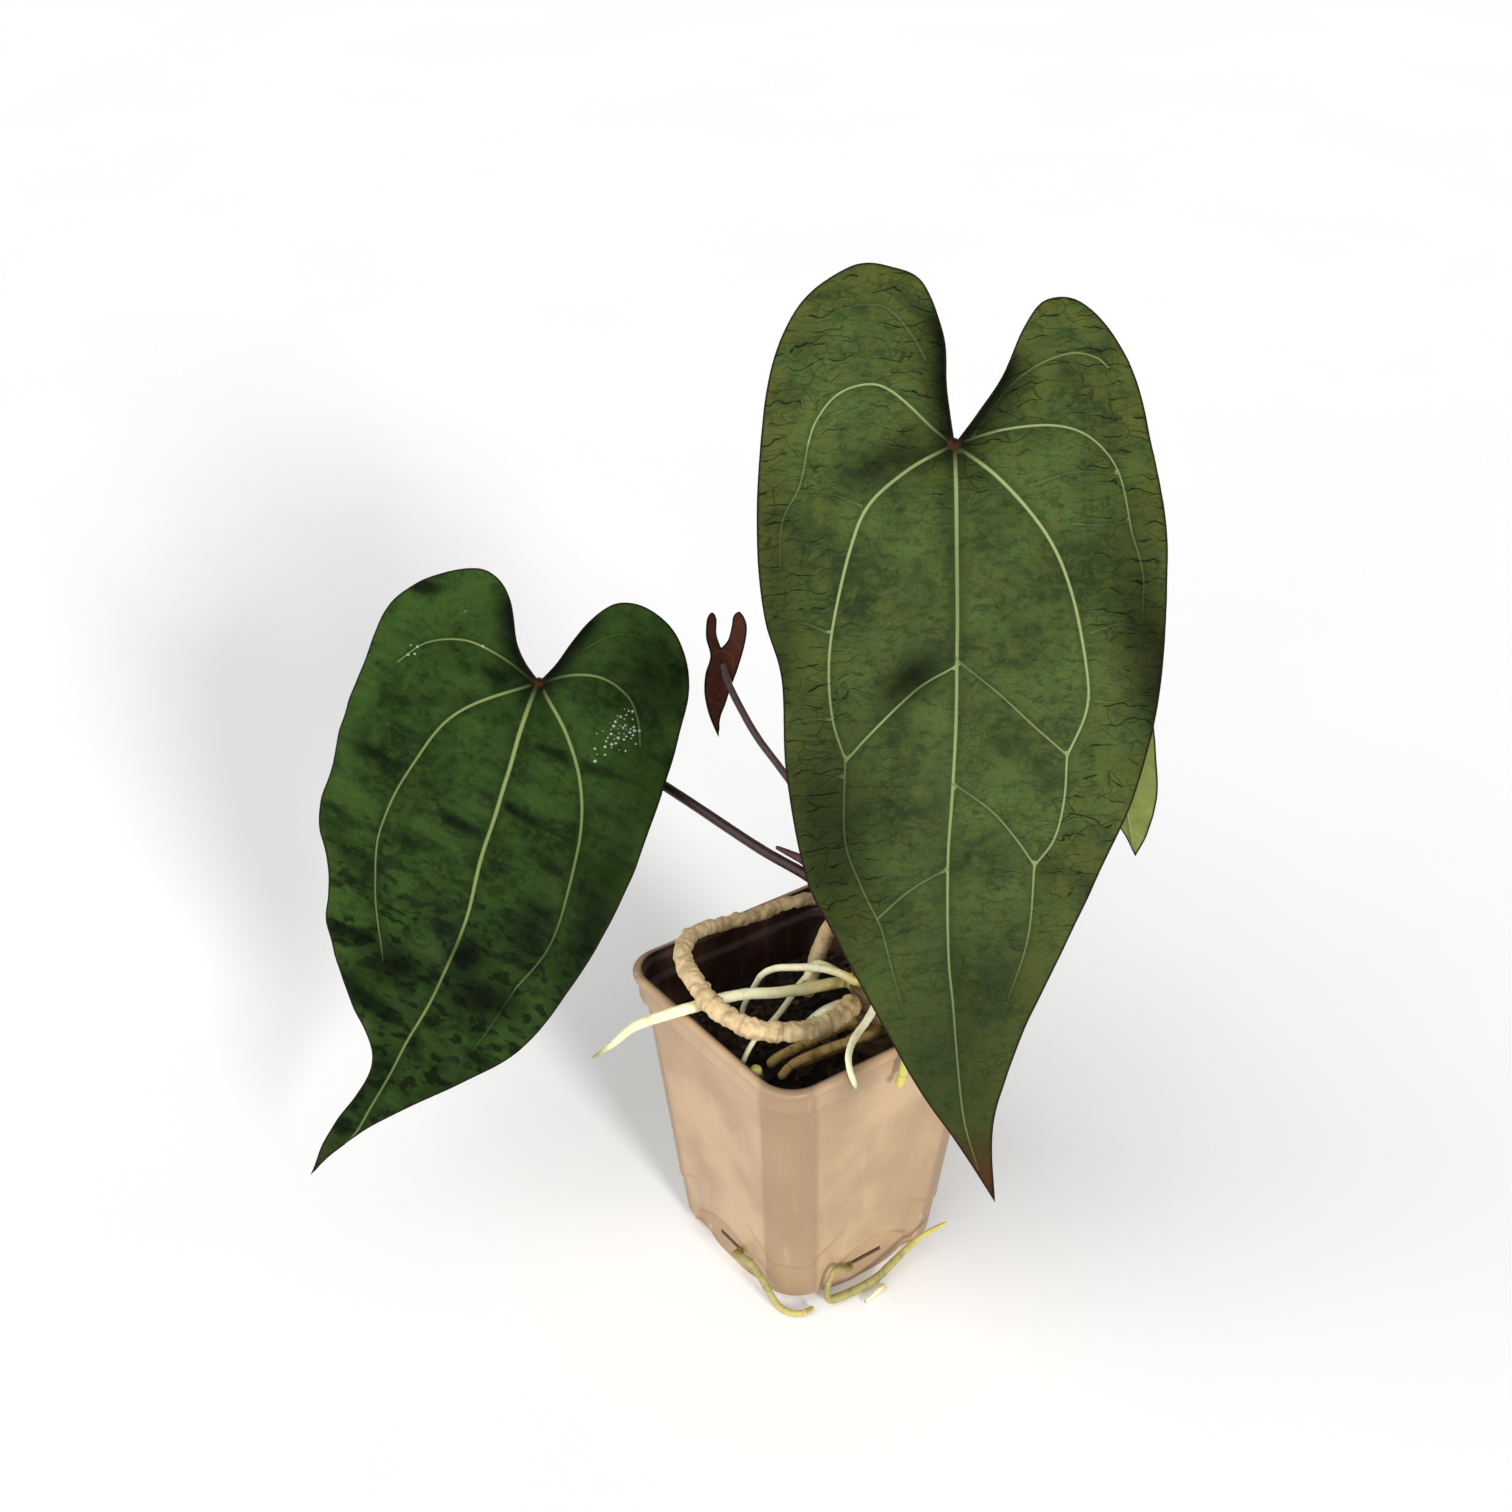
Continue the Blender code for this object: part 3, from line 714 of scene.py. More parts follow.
    def veined(self, paint: LeafPaint, skin: Wire) -> Wire:
        """Lay painted light on the folds, then the veins, the tip and the painted shade of the
        hollows over the upper face.

        Args:
            paint: The blade's material.
            skin: The colour so far.

        Returns:
            The colour with all of them.
        """
        # Painted shade: darker green in the grooves beside the veins.
        skin = paint.mix(paint.vein.rise(5.5, 1.0) * 0.30, skin, self.deep)
        # Painted light: the fold sides that face the sinus are lightened towards the edge colour.
        skin = paint.mix(paint.attribute("lift").rise(0.0, 1.0) * 0.42, skin, self.edge)
        pale = tuple(c * 1.45 for c in self.vein)
        lit = paint.mix(paint.vein.rise(0.9, 0.1) * 0.5, self.vein, pale)
        skin = paint.mix(paint.core * paint.tone, skin, lit)
        far_tip = paint.along.rise(self.length - 22.0, self.length - 4.0)
        skin = paint.mix(far_tip * 0.8, skin, self.tip)
        # Painted shade: the hollows, the fold undersides and the lobe edges by the sinus go near
        # black.
        skin = paint.mix(paint.attribute("shade"), skin, self.shade)
        return paint.mix(paint.attribute("joint") * 0.75, skin, self.joint)

    def underside(self, paint: LeafPaint) -> Wire:
        """Mix the paler underside.

        Args:
            paint: The blade's material.

        Returns:
            The colour.
        """
        dull = paint.mix(paint.mottle.rise(0.4, 0.7), self.under, self.middle)
        back = paint.mix(paint.cloud.rise(0.3, 0.7), self.under, dull)
        back = paint.mix(paint.net.rise(0.08, 0.01) * 0.20, back, self.under_vein)
        return paint.mix(paint.core * (paint.tone * 0.5 + 0.5), back, self.under_vein)


@dataclass(frozen=True)
class StalkFinish:
    """Smooth skin of a petiole or a sheath, with fine lengthwise streaks."""

    low: Color
    high: Color
    fleck: Color
    roughness: float = 0.38

    def dress(self, name: str) -> bpy.types.Material:
        """Build the material, from low at the root end to high at the leaf end.

        Args:
            name: The material's name.

        Returns:
            The material.
        """
        paint = Paint(name)
        reach = paint.attribute("reach")
        place = paint.place()
        along = paint.attribute("along")
        streak = paint.grain(paint.shifted(paint.scaled(place, (1.6, 1.6, 0.12)), (4.0, 9.0, 0.0)),
                             1.0, 3.0)
        skin = paint.mix(reach.rise(0.0, 1.0), self.low, self.high)
        skin = paint.mix(streak.rise(0.52, 0.74) * 0.5, skin, self.fleck)
        pores = paint.cells(paint.scaled(place, (1.4, 1.4, 1.0)), "F1")
        skin = paint.mix(pores.rise(0.16, 0.08) * 0.5, skin, self.fleck)
        bands = paint.bands(along, 0.5, 3.0)
        height = streak * 0.10 + bands * 0.06
        return paint.finish(Base_Color=skin, Roughness=streak * 0.2 + (self.roughness - 0.1),
                            Specular_IOR_Level=0.4, Normal=paint.bump(height, 0.8))


@dataclass(frozen=True)
class RootFinish:
    """Corky or fleshy root skin that changes colour from its base to its tip."""

    base: Color
    body: Color
    tip: Color
    dark_mark: Color
    roughness: float = 0.6
    mark_strength: float = 0.5
    tip_from: float = 0.8

    def dress(self, name: str) -> bpy.types.Material:
        """Build the material.

        Args:
            name: The material's name.

        Returns:
            The material.
        """
        paint = Paint(name)
        reach = paint.attribute("reach")
        place = paint.place()
        along = paint.attribute("along")
        skin = paint.mix(reach.rise(0.05, 0.45), self.base, self.body)
        skin = paint.mix(reach.rise(self.tip_from, 1.0), skin, self.tip)
        patch = paint.grain(place, 4.2, 4.0, 0.62)
        fleck = paint.grain(place, 0.8, 4.0, 0.7)
        rings = paint.bands(along, 0.75, 4.0, 0.65)
        pale = tuple(min(1.0, c * 1.3 + 0.04) for c in self.body)
        # The root is paler on its raised patches, darker in its low patches and ring grooves, and
        # flecked dark.
        skin = paint.mix(patch.rise(0.50, 0.72) * 0.55, skin, pale)
        skin = paint.mix(patch.rise(0.50, 0.30) * self.mark_strength, skin, self.dark_mark)
        skin = paint.mix(fleck.rise(0.55, 0.75) * self.mark_strength * 0.8, skin, self.dark_mark)
        skin = paint.mix(rings.rise(0.42, 0.30) * self.mark_strength * 0.6, skin, self.dark_mark)
        height = fleck * 0.18 + rings * 0.10 + patch * 0.22
        return paint.finish(Base_Color=skin, Roughness=fleck * 0.25 + (self.roughness - 0.12),
                            Specular_IOR_Level=0.35, Subsurface_Weight=0.08,
                            Subsurface_Scale=0.001, Normal=paint.bump(height))


@dataclass(frozen=True)
class PotFinish:
    """Thin taupe plastic, a little dusty outside, dark brown within as painted shade, with painted
    shade down its corners and along its grooves and painted highlights among its pale specks.
    """

    light: Color = (0.48, 0.325, 0.186)
    warm: Color = (0.365, 0.240, 0.134)
    # Darker blotches, and painted shade down the rounded corners.
    strip: Color = (0.25, 0.160, 0.088)
    # Painted shade: the near-black brown of the inner wall.
    inside: Color = (0.030, 0.013, 0.009)
    # Darker tone low on the pot and in specks, and painted shade along the grooves.
    dark_tone_and_line_shade: Color = (0.32, 0.20, 0.115)
    # Pale chalky drips, and painted highlights in the specks.
    chalk_and_highlight: Color = (0.78, 0.68, 0.55)
    roughness: float = 0.34

    def dress(self, name: str) -> bpy.types.Material:
        """Build the material.

        Args:
            name: The material's name.

        Returns:
            The material.
        """
        paint = Paint(name)
        place = paint.place()
        parts = paint.add("ShaderNodeSeparateXYZ", {}, {"Vector": place})
        level = parts.output("Z")
        broad = paint.grain(place, 24.0, 2.0)
        cloud = paint.grain(paint.shifted(place, (9.0, 40.0, 3.0)), 12.0, 3.0, 0.55)
        drip = paint.grain(paint.scaled(place, (1.0, 1.0, 0.16)), 2.6, 4.0)
        speck = paint.grain(place, 0.9, 3.0, 0.7)
        skin = paint.mix(broad.rise(0.35, 0.65), self.warm, self.light)
        skin = paint.mix(cloud.rise(0.50, 0.70) * 0.32, skin, self.light)
        skin = paint.mix(cloud.rise(0.47, 0.28) * 0.16, skin, self.strip)
        # Painted shade down the rounded corners.
        skin = paint.mix(paint.attribute("corner") * 0.72, skin, self.strip)
        skin = paint.mix(drip.rise(0.56, 0.76) * 0.10, skin, self.chalk_and_highlight)
        # Painted highlights: pale specks scattered in the blotches.
        marks = paint.cells(paint.scaled(place, (0.11, 0.11, 0.09)), "F1")
        skin = paint.mix(marks.rise(0.11, 0.04) * cloud.rise(0.5, 0.6) * 0.6, skin, self.chalk_and_highlight)
        # Darker towards the bottom, in blotches.
        foot = level.rise(16.0, 2.0) * cloud.rise(0.38, 0.6)
        skin = paint.mix(foot * 0.5, skin, self.dark_tone_and_line_shade)
        # Painted shade along the ledge, the lip and collar grooves and the niche rims.
        skin = paint.mix(paint.attribute("groove") * 0.75, skin, self.dark_tone_and_line_shade)
        skin = paint.mix(speck.rise(0.66, 0.78) * 0.25, skin, self.dark_tone_and_line_shade)
        # Painted shade darkens the whole inner wall.
        inner = paint.attribute("inside")
        dark = paint.mix(drip.rise(0.45, 0.75) * 0.6, self.inside, (0.080, 0.034, 0.022))
        color = paint.mix(inner, skin, dark)
        height = broad * 0.5 + cloud * 0.10 + speck * 0.012 + drip * 0.02
        rough = cloud * 0.22 + (self.roughness - 0.08) + speck * 0.08
        return paint.finish(Base_Color=color, Roughness=rough, Specular_IOR_Level=0.5,
                            Normal=paint.bump(height, 0.8))


@dataclass(frozen=True)
class BarkFinish:
    """Near-black peat with brown bark chips of different ages."""

    peat: Color = (0.006, 0.004, 0.003)
    chip: Color = (0.030, 0.015, 0.008)
    old: Color = (0.013, 0.008, 0.006)
    pale: Color = (0.085, 0.046, 0.021)

    def dress(self, name: str) -> bpy.types.Material:
        """Build the material.

        Args:
            name: The material's name.

        Returns:
            The material.
        """
        paint = Paint(name)
        place = paint.place()
        own = paint.attribute("own")
        fiber = paint.grain(paint.scaled(place, (1.0, 0.35, 1.0)), 0.7, 4.0, 0.7)
        crumb = paint.grain(place, 1.6, 5.0, 0.7)
        chip = paint.mix(own.rise(0.25, 0.85), self.old, self.chip)
        chip = paint.mix(own.rise(0.90, 0.97) * 0.8, chip, self.pale)
        chip = paint.mix(fiber.rise(0.5, 0.7) * 0.45, chip, self.pale)
        skin = paint.mix(own.rise(0.0, 0.05), self.peat, chip)
        skin = paint.mix(crumb.rise(0.5, 0.3) * 0.6, skin, self.peat)
        height = fiber * 0.25 + crumb * 0.3
        return paint.finish(Base_Color=skin, Roughness=crumb * 0.2 + 0.72,
                            Specular_IOR_Level=0.25, Normal=paint.bump(height))


@dataclass(frozen=True)
class DewFinish:
    """Clear drops that catch the light, their pale colour a painted sheen."""

    painted_sheen: Color = (0.24, 0.32, 0.22)

    def dress(self, name: str) -> bpy.types.Material:
        """Build the material.

        Args:
            name: The material's name.

        Returns:
            The material.
        """
        paint = Paint(name)
        speck = paint.grain(paint.place(), 0.6, 2.0)
        # Painted sheen: the drops' pale colour stands for the light they catch.
        skin = paint.mix(speck.rise(0.4, 0.62), self.painted_sheen, (0.10, 0.16, 0.08))
        return paint.finish(Base_Color=skin, Roughness=speck * 0.08 + 0.05,
                            Specular_IOR_Level=0.7, Coat_Weight=0.6)


@dataclass(frozen=True)
class FloorFinish:
    """Plain pale ground."""

    color: Color = (0.965, 0.965, 0.965)
    glow: float = 0.03

    def dress(self, name: str) -> bpy.types.Material:
        """Build the material.

        Args:
            name: The material's name.

        Returns:
            The material.
        """
        paint = Paint(name)
        soft = paint.grain(paint.place(), 160.0, 2.0)
        tone = paint.mix(soft.rise(0.3, 0.7), self.color, tuple(c * 0.985 for c in self.color))
        return paint.finish(Base_Color=tone, Roughness=0.85, Specular_IOR_Level=0.1,
                            Emission_Color=tone, Emission_Strength=self.glow)


# ---------------------------------------------------------------- pot


@dataclass
class Pot:
    """Square nursery pot: thin wall, rolled lip, arched niches with drain slots."""

    height: float = 80.0
    shoulder: float = 71.5
    shoulder_half: float = 33.0
    base_half: float = 26.0
    foot_half: float = 25.2
    foot_corner: float = 20.0
    base_corner: float = 10.0
    top_corner: float = 10.5
    undercut: float = 3.5
    wall: float = 1.3
    floor: float = 3.0
    niche_width: float = 15.5
    niche_height: float = 13.5
    niche_face: float = 24.9
    ledge_level: float = 15.2
    ledge_bow: float = 0.022
    ledge_step: float = 0.45
    strip_fade: Point2 = (11.6, 6.8)
    strip_step: float = 0.16
    lip_groove: float = 77.1
    collar_groove: float = 71.6
    slot_half: float = 5.6
    slot_low: float = 4.4
    slot_high: float = 6.9
    row_step: float = 0.75
    side_steps: int = 46
    corner_steps: int = 14
    finish: PotFinish = field(default_factory=PotFinish)

    def profile(self) -> list[tuple[float, float, float]]:
        """Work out the rows of the outer wall.

        Returns:
            Level, half side and corner radius of each row, from the foot to the lip.
        """
        rows = []
        for k in range(9):
            t = k / 8
            rows.append((self.undercut * t,
                         self.foot_half + (self.side_half(self.undercut) - self.foot_half) * t**2,
                         self.foot_corner + (self.base_corner - self.foot_corner) * t**4))
        count = round((self.shoulder - self.undercut) / self.row_step)
        for k in range(1, count + 1):
            level = self.undercut + (self.shoulder - self.undercut) * k / count
            corner = self.base_corner + (self.top_corner - self.base_corner) * level / self.shoulder
            rows.append((level, self.side_half(level), corner))
        collar = [(71.8, 33.15), (72.1, 33.55), (72.4, 33.9), (72.8, 34.15), (73.3, 34.2),
                  (75.0, 34.2), (76.6, 34.2), (77.2, 34.2), (77.45, 34.45), (77.7, 34.75),
                  (78.1, 34.95), (78.6, 35.0), (79.1, 34.98), (79.5, 34.86), (79.8, 34.62),
                  (79.95, 34.3), (80.0, 34.0)]
        for level, half in collar:
            rows.append((level, half, self.top_corner - ease(level, 77.0, 79.0) * 1.0))
        return rows

    def side_half(self, level: float) -> float:
        """Half side of the tapered wall at a level."""
        return self.base_half + (self.shoulder_half - self.base_half) * level / self.shoulder

    def outline(self, half: float, corner: float) -> list[tuple[float, float, int, float]]:
        """A rounded square.

        Args:
            half: Half its side.
            corner: Its corner radius.

        Returns:
            For each column: distance out of the side's middle, place across the side, the
            quarter it belongs to, and the angle round the corner.
        """
        spots = []
        for quarter in range(4):
            for k in range(self.side_steps):
                across = (half - corner) * (2 * k / self.side_steps - 1)
                spots.append((half, across, quarter, 0.0))
            for k in range(self.corner_steps):
                angle = math.pi / 2 * k / self.corner_steps
                spots.append((half - corner + corner * math.cos(angle),
                              half - corner + corner * math.sin(angle), quarter, angle))
        return spots

    def row(self, level: float, half: float, corner: float, inset: float) -> list[dict]:
        """Places of one row of the wall, with their marks.

        Args:
            level: The row's height.
            half: Half side of the outer wall there.
            corner: Corner radius of the outer wall there.
            inset: How far inside the outer wall the row lies.

        Returns:
            For each column: where it is, how much painted shade it gets as corner and as groove,
                and whether it opens into a drain slot.
        """
        found = []
        for out, across, quarter, angle in self.outline(half - inset, corner - inset):
            side = angle == 0.0
            edge = half - abs(across)
            arch = math.hypot(across / (self.niche_width + inset),
                              level / (self.niche_height + inset))
            niche = float(ease(arch, 1.0, 0.93)) if side else 0.0
            out += min(0.0, self.niche_face - inset - out) * niche
            # The band round each corner: a slight recess in the wall, and painted shade in the
            # finish.
            strip = float(ease(edge if side else min(edge, half - abs(out)), *self.strip_fade))
            bow = self.ledge_level + (self.ledge_bow * edge**2 if side else 0.0)
            span = (float(ease(edge, 19.0, 15.0)) if side else 1.0) * (1 - niche)
            # Painted shade lines under the ledge step, the lip roll and the collar.
            groove = span * math.exp(-((level - bow) / 0.45)**2)
            groove += 0.8 * math.exp(-((level - self.lip_groove) / 0.4)**2)
            groove += 0.5 * math.exp(-((level - self.collar_groove) / 0.5)**2)
            push = -self.ledge_step * float(ease(level, bow + 0.35, bow - 0.35)) * span
            push -= self.strip_step * strip * float(ease(level, 15.0, 17.0)
                                                    * ease(level, 70.5, 68.5))
            scale = 1.0 if niche or inset else 1.0 + push / half
            x, y = out * scale, across * (1.0 if side else scale)
            for _ in range(quarter):
                x, y = -y, x
            drain = (niche > 0.99 and abs(across) < self.slot_half
                     and self.slot_low < level < self.slot_high)
            # Painted shade along the arched rim of each niche.
            rim = math.exp(-((arch - 0.965) / 0.03)**2) if side and level > 1 else 0.0
            found.append({"spot": (x, y, level), "corner": strip, "drain": drain,
                          "groove": max(groove, rim * 0.6)})
        return found

    def skins(self) -> tuple[list[list[dict]], list[list[dict]], int]:
        """Work out both faces of the wall.

        Returns:
            The outer rows, the inner rows from the floor up, and the outer row that the
            inner ones start at.
        """
        profile = self.profile()
        outer = [self.row(*line, 0.0) for line in profile]
        inner = [self.row(max(level, self.floor), half, corner, self.wall)
                 for level, half, corner in profile]
        for k, (level, half, corner) in enumerate(profile):
            if level > self.height - 1.2:
                drop = self.height - level
                inner[k] = self.row(self.height - drop * 1.2, half, corner,
                                    self.wall + 0.35 * float(ease(drop, 0.0, 1.2)) - 0.35)
        first = next(k for k, line in enumerate(profile) if line[0] > self.floor)
        return outer, inner[first:], first

    def build(self) -> bpy.types.Object:
        """Make the pot.

        Returns:
            The pot's object.
        """
        outer, inner, first = self.skins()
        columns = len(outer[0])
        bm = bmesh.new()
        skin, lining = ([[bm.verts.new(Vector(spot["spot"]) * MM) for spot in row] for row in rows]
                        for rows in (outer, inner))
        marks = [(spot["corner"], spot["groove"], 0.0) for row in outer for spot in row]
        # The inner skin is marked for painted shade.
        marks += [(0.0, 0.0, 1.0) for row in inner for _ in row]
        for i in range(len(skin) - 1):
            for j in range(columns):
                n = (j + 1) % columns
                hole = (outer[i][j]["drain"] and outer[i + 1][j]["drain"] and outer[i][n]["drain"]
                        and outer[i + 1][n]["drain"] and i > first)
                if not hole:
                    bm.faces.new((skin[i][j], skin[i][n], skin[i + 1][n], skin[i + 1][j]))
                if i >= first and not hole:
                    k = i - first
                    bm.faces.new((lining[k][j], lining[k + 1][j], lining[k + 1][n], lining[k][n]))
        for j in range(columns):
            n = (j + 1) % columns
            bm.faces.new((skin[-1][j], skin[-1][n], lining[-1][n], lining[-1][j]))
        bm.faces.new(list(reversed(skin[0])))
        bm.faces.new(lining[0])
        self.line_holes(bm, skin, lining, first)
        bmesh.ops.recalc_face_normals(bm, faces=bm.faces)
        mesh = bpy.data.meshes.new("nursery_pot")
        bm.to_mesh(mesh)
        bm.free()
        values = np.array(marks)
        for name, column in (("corner", 0), ("groove", 1), ("inside", 2)):
            store(mesh, name, values[:, column])
        mesh.shade_smooth()
        mesh.set_sharp_from_angle(angle=math.radians(50))
        mesh.materials.append(self.finish.dress("pot_taupe"))
        return settle(link_object("nursery_pot", mesh), "pot_taupe", "pot")

    def line_holes(self, bm: bmesh.types.BMesh, skin: list, lining: list, first: int) -> None:
        """Join the edges of each drain slot through the wall.

        Args:
            bm: The pot's mesh.
            skin: Vertices of the outer skin, by row.
            lining: Vertices of the inner skin, by row from the floor up.
            first: The outer row that the inner skin starts at.
        """
        partner = {}
        for outer_row, inner_row in zip(skin[first:], lining):
            for out_vert, in_vert in zip(outer_row, inner_row):
                partner[out_vert] = in_vert
        open_edges = [e for e in bm.edges if e.is_boundary
                      and all(v in partner for v in e.verts)]
        for edge in open_edges:
            a, b = edge.verts
            bm.faces.new((a, b, partner[b], partner[a]))


# ---------------------------------------------------------------- potting bark


@dataclass
class PottingBark:
    """Peat and bark chips that fill the pot to below its rim."""

    top: float = 61.5
    low: float = 3.4
    low_half: float = 22.4
    low_corner: float = 9.0
    corner: float = 11.0
    narrow_to: float = 15.8
    full_at: float = 58.0
    clearance: float = 0.35
    columns: int = 96
    rings: int = 26
    spacing: float = 1.9
    chip_length: float = 4.2
    seed: int = 7
    lump: float = 1.5
    crumb: float = 0.8
    finish: BarkFinish = field(default_factory=BarkFinish)

    def ring(self, half: float, corner: float, level: float) -> list[Vector]:
        """A level rounded square with a fixed number of points.

        Args:
            half: Half its side.
            corner: Its corner radius.
            level: Its height.

        Returns:
            Its points.
        """
        spots = []
        for k in range(self.columns):
            angle = 2 * math.pi * k / self.columns
            power = 2.0 / (2.0 + 6.0 * (1.0 - corner / half))
            x = math.copysign(abs(math.cos(angle))**power, math.cos(angle))
            y = math.copysign(abs(math.sin(angle))**power, math.sin(angle))
            spots.append(Vector((x * half, y * half, level)))
        return spots

    def heap(self) -> bpy.types.Object:
        """Make the body of peat, with a lumpy top.

        Returns:
            The heap, which carries where chips may lie.
        """
        pot = Pot()
        inset = pot.wall + self.clearance
        sections = [self.ring(self.low_half, self.low_corner, level)
                    for level in (self.low, self.narrow_to - 1.0)]
        for level in (self.narrow_to, 30.0, 45.0, self.full_at):
            sections.append(self.ring(pot.side_half(level) - inset, self.corner, level))
        edge = pot.side_half(self.full_at) - inset
        for k in range(self.rings):
            half = edge * (1 - (k + 0.5) / self.rings)
            corner = half * (0.35 + 0.6 * k / self.rings)
            ring = self.ring(half, min(corner, half * 0.98), self.top)
            for spot in ring:
                spot.z += (self.lump * noise.noise(spot / 6.0)
                           + self.crumb * noise.noise(spot / 2.1))
            sections.append(ring)
        bm = bmesh.new()
        rows = [[bm.verts.new(spot * MM) for spot in ring] for ring in sections]
        for lower, upper in zip(rows, rows[1:]):
            for j in range(self.columns):
                n = (j + 1) % self.columns
                bm.faces.new((lower[j], lower[n], upper[n], upper[j]))
        bm.faces.new(list(reversed(rows[0])))
        bm.faces.new(rows[-1])
        bmesh.ops.recalc_face_normals(bm, faces=bm.faces)
        mesh = bpy.data.meshes.new("peat_heap")
        bm.to_mesh(mesh)
        bm.free()
        heights = np.array([v.co.z for v in mesh.vertices]) * PER_MM
        reach = np.array([max(abs(v.co.x), abs(v.co.y)) for v in mesh.vertices]) * PER_MM
        store(mesh, "bed", (heights > self.full_at + 0.5) * (reach < edge - 2.5) * 1.0)
        return link_object("peat_heap", mesh)

    def pattern(self) -> Pattern:
        """Build the tree that scatters chips over the top of the peat.

        Returns:
            The tree.
        """
        tree = Pattern("bark_bed")
        spacing = tree.knob("Spacing", self.spacing * MM)
        length = tree.knob("Chip Length", self.chip_length * MM)
        seed = tree.knob("Seed", self.seed, "NodeSocketInt")
        points = tree.strew(tree.named("bed"), spacing, 4e5, 1.0, seed)
        block = tree.add("GeometryNodeMeshCube", {}, {"Vertices X": 3, "Vertices Y": 3,
                                                      "Vertices Z": 2})
        where = tree.add("GeometryNodeInputPosition")
        rough = tree.add("ShaderNodeTexNoise", {}, {"Vector": where, "Scale": 1.6}, "Color")
        moved = tree.add("ShaderNodeVectorMath", {"operation": "SUBTRACT"},
                         {0: rough, 1: (0.5, 0.5, 0.5)})
        chip = tree.add("GeometryNodeSetPosition", {},
                        {"Geometry": block, "Offset": tree.scale(moved, 0.8)})
        turn = tree.chance((-0.7, -0.7, -3.1), (0.7, 0.7, 3.1), seed)
        scale = tree.scale(tree.chance((0.35, 0.22, 0.10), (1.15, 0.75, 0.34), seed), length)
        laid = tree.add("GeometryNodeInstanceOnPoints", {},
                        {"Points": points, "Instance": chip, "Rotation": turn, "Scale": scale})
        marked = tree.keep(laid, "own", tree.chance(0.1, 1.0, seed), "INSTANCE")
        joined = tree.add("GeometryNodeJoinGeometry", {}, {"Geometry": tree.source()})
        tree.tree.links.new(marked.socket, joined.socket.node.inputs[0])
        tree.close(joined, self.finish.dress("bark_medium"))
        return tree

    def build(self) -> bpy.types.Object:
        """Make the peat and its chips as one mesh.

        Returns:
            The finished piece.
        """
        sizes = {"Spacing": self.spacing * MM, "Chip Length": self.chip_length * MM,
                 "Seed": self.seed}
        piece = self.pattern().grow(self.heap(), "potting_bark", sizes)
        return settle(piece, "bark_medium", "growing_medium")


# ---------------------------------------------------------------- stalks and roots


class Grower:
    """The Geometry Nodes tree that turns a tapered line into a grown tube."""

    def __init__(self, material: bpy.types.Material) -> None:
        """Build the tree for one finish.

        Args:
            material: The finish.
        """
        tree = Pattern("grown_" + material.name)
        sides = tree.knob("Sides", 20, "NodeSocketInt")
        knobs = tree.knob("Knobs", 0.1)
        knob_length = tree.knob("Knob Length", 3.0)
        rings = tree.knob("Rings", 0.05)
        ring_length = tree.knob("Ring Length", 2.0)
        seed = tree.knob("Seed", 0.0)
        line = tree.add("GeometryNodeSplineParameter")
        girth = tree.add("GeometryNodeInputRadius")
        measured = tree.keep(tree.source(), "along", line.output("Length") * PER_MM)
        measured = tree.keep(measured, "reach", line.output("Factor"))
        measured = tree.keep(measured, "girth", girth)
        circle = tree.add("GeometryNodeCurvePrimitiveCircle", {},
                          {"Resolution": sides, "Radius": 1.0})
        tube = tree.add("GeometryNodeCurveToMesh", {},
                        {"Curve": measured, "Profile Curve": circle, "Scale": girth,
                         "Fill Caps": True})
        spot = tree.scale(tree.add("GeometryNodeInputPosition"), PER_MM / knob_length)
        lump = tree.add("ShaderNodeTexNoise", {"noise_dimensions": "4D"},
                        {"Vector": spot, "W": seed, "Scale": 1.0, "Detail": 3.0})
        band = tree.add("ShaderNodeTexNoise", {"noise_dimensions": "1D"},
                        {"W": tree.named("along") / ring_length + seed, "Scale": 1.0,
                         "Detail": 3.0})
        push = ((lump - 0.5) * knobs + (band - 0.5) * rings) * tree.named("girth") * 2.0
        offset = tree.scale(tree.add("GeometryNodeInputNormal"), push)
        shaped = tree.add("GeometryNodeSetPosition", {}, {"Geometry": tube, "Offset": offset})
        smooth = tree.add("GeometryNodeSetShadeSmooth", {}, {"Geometry": shaped})
        tree.close(smooth, material)
        self.tree = tree


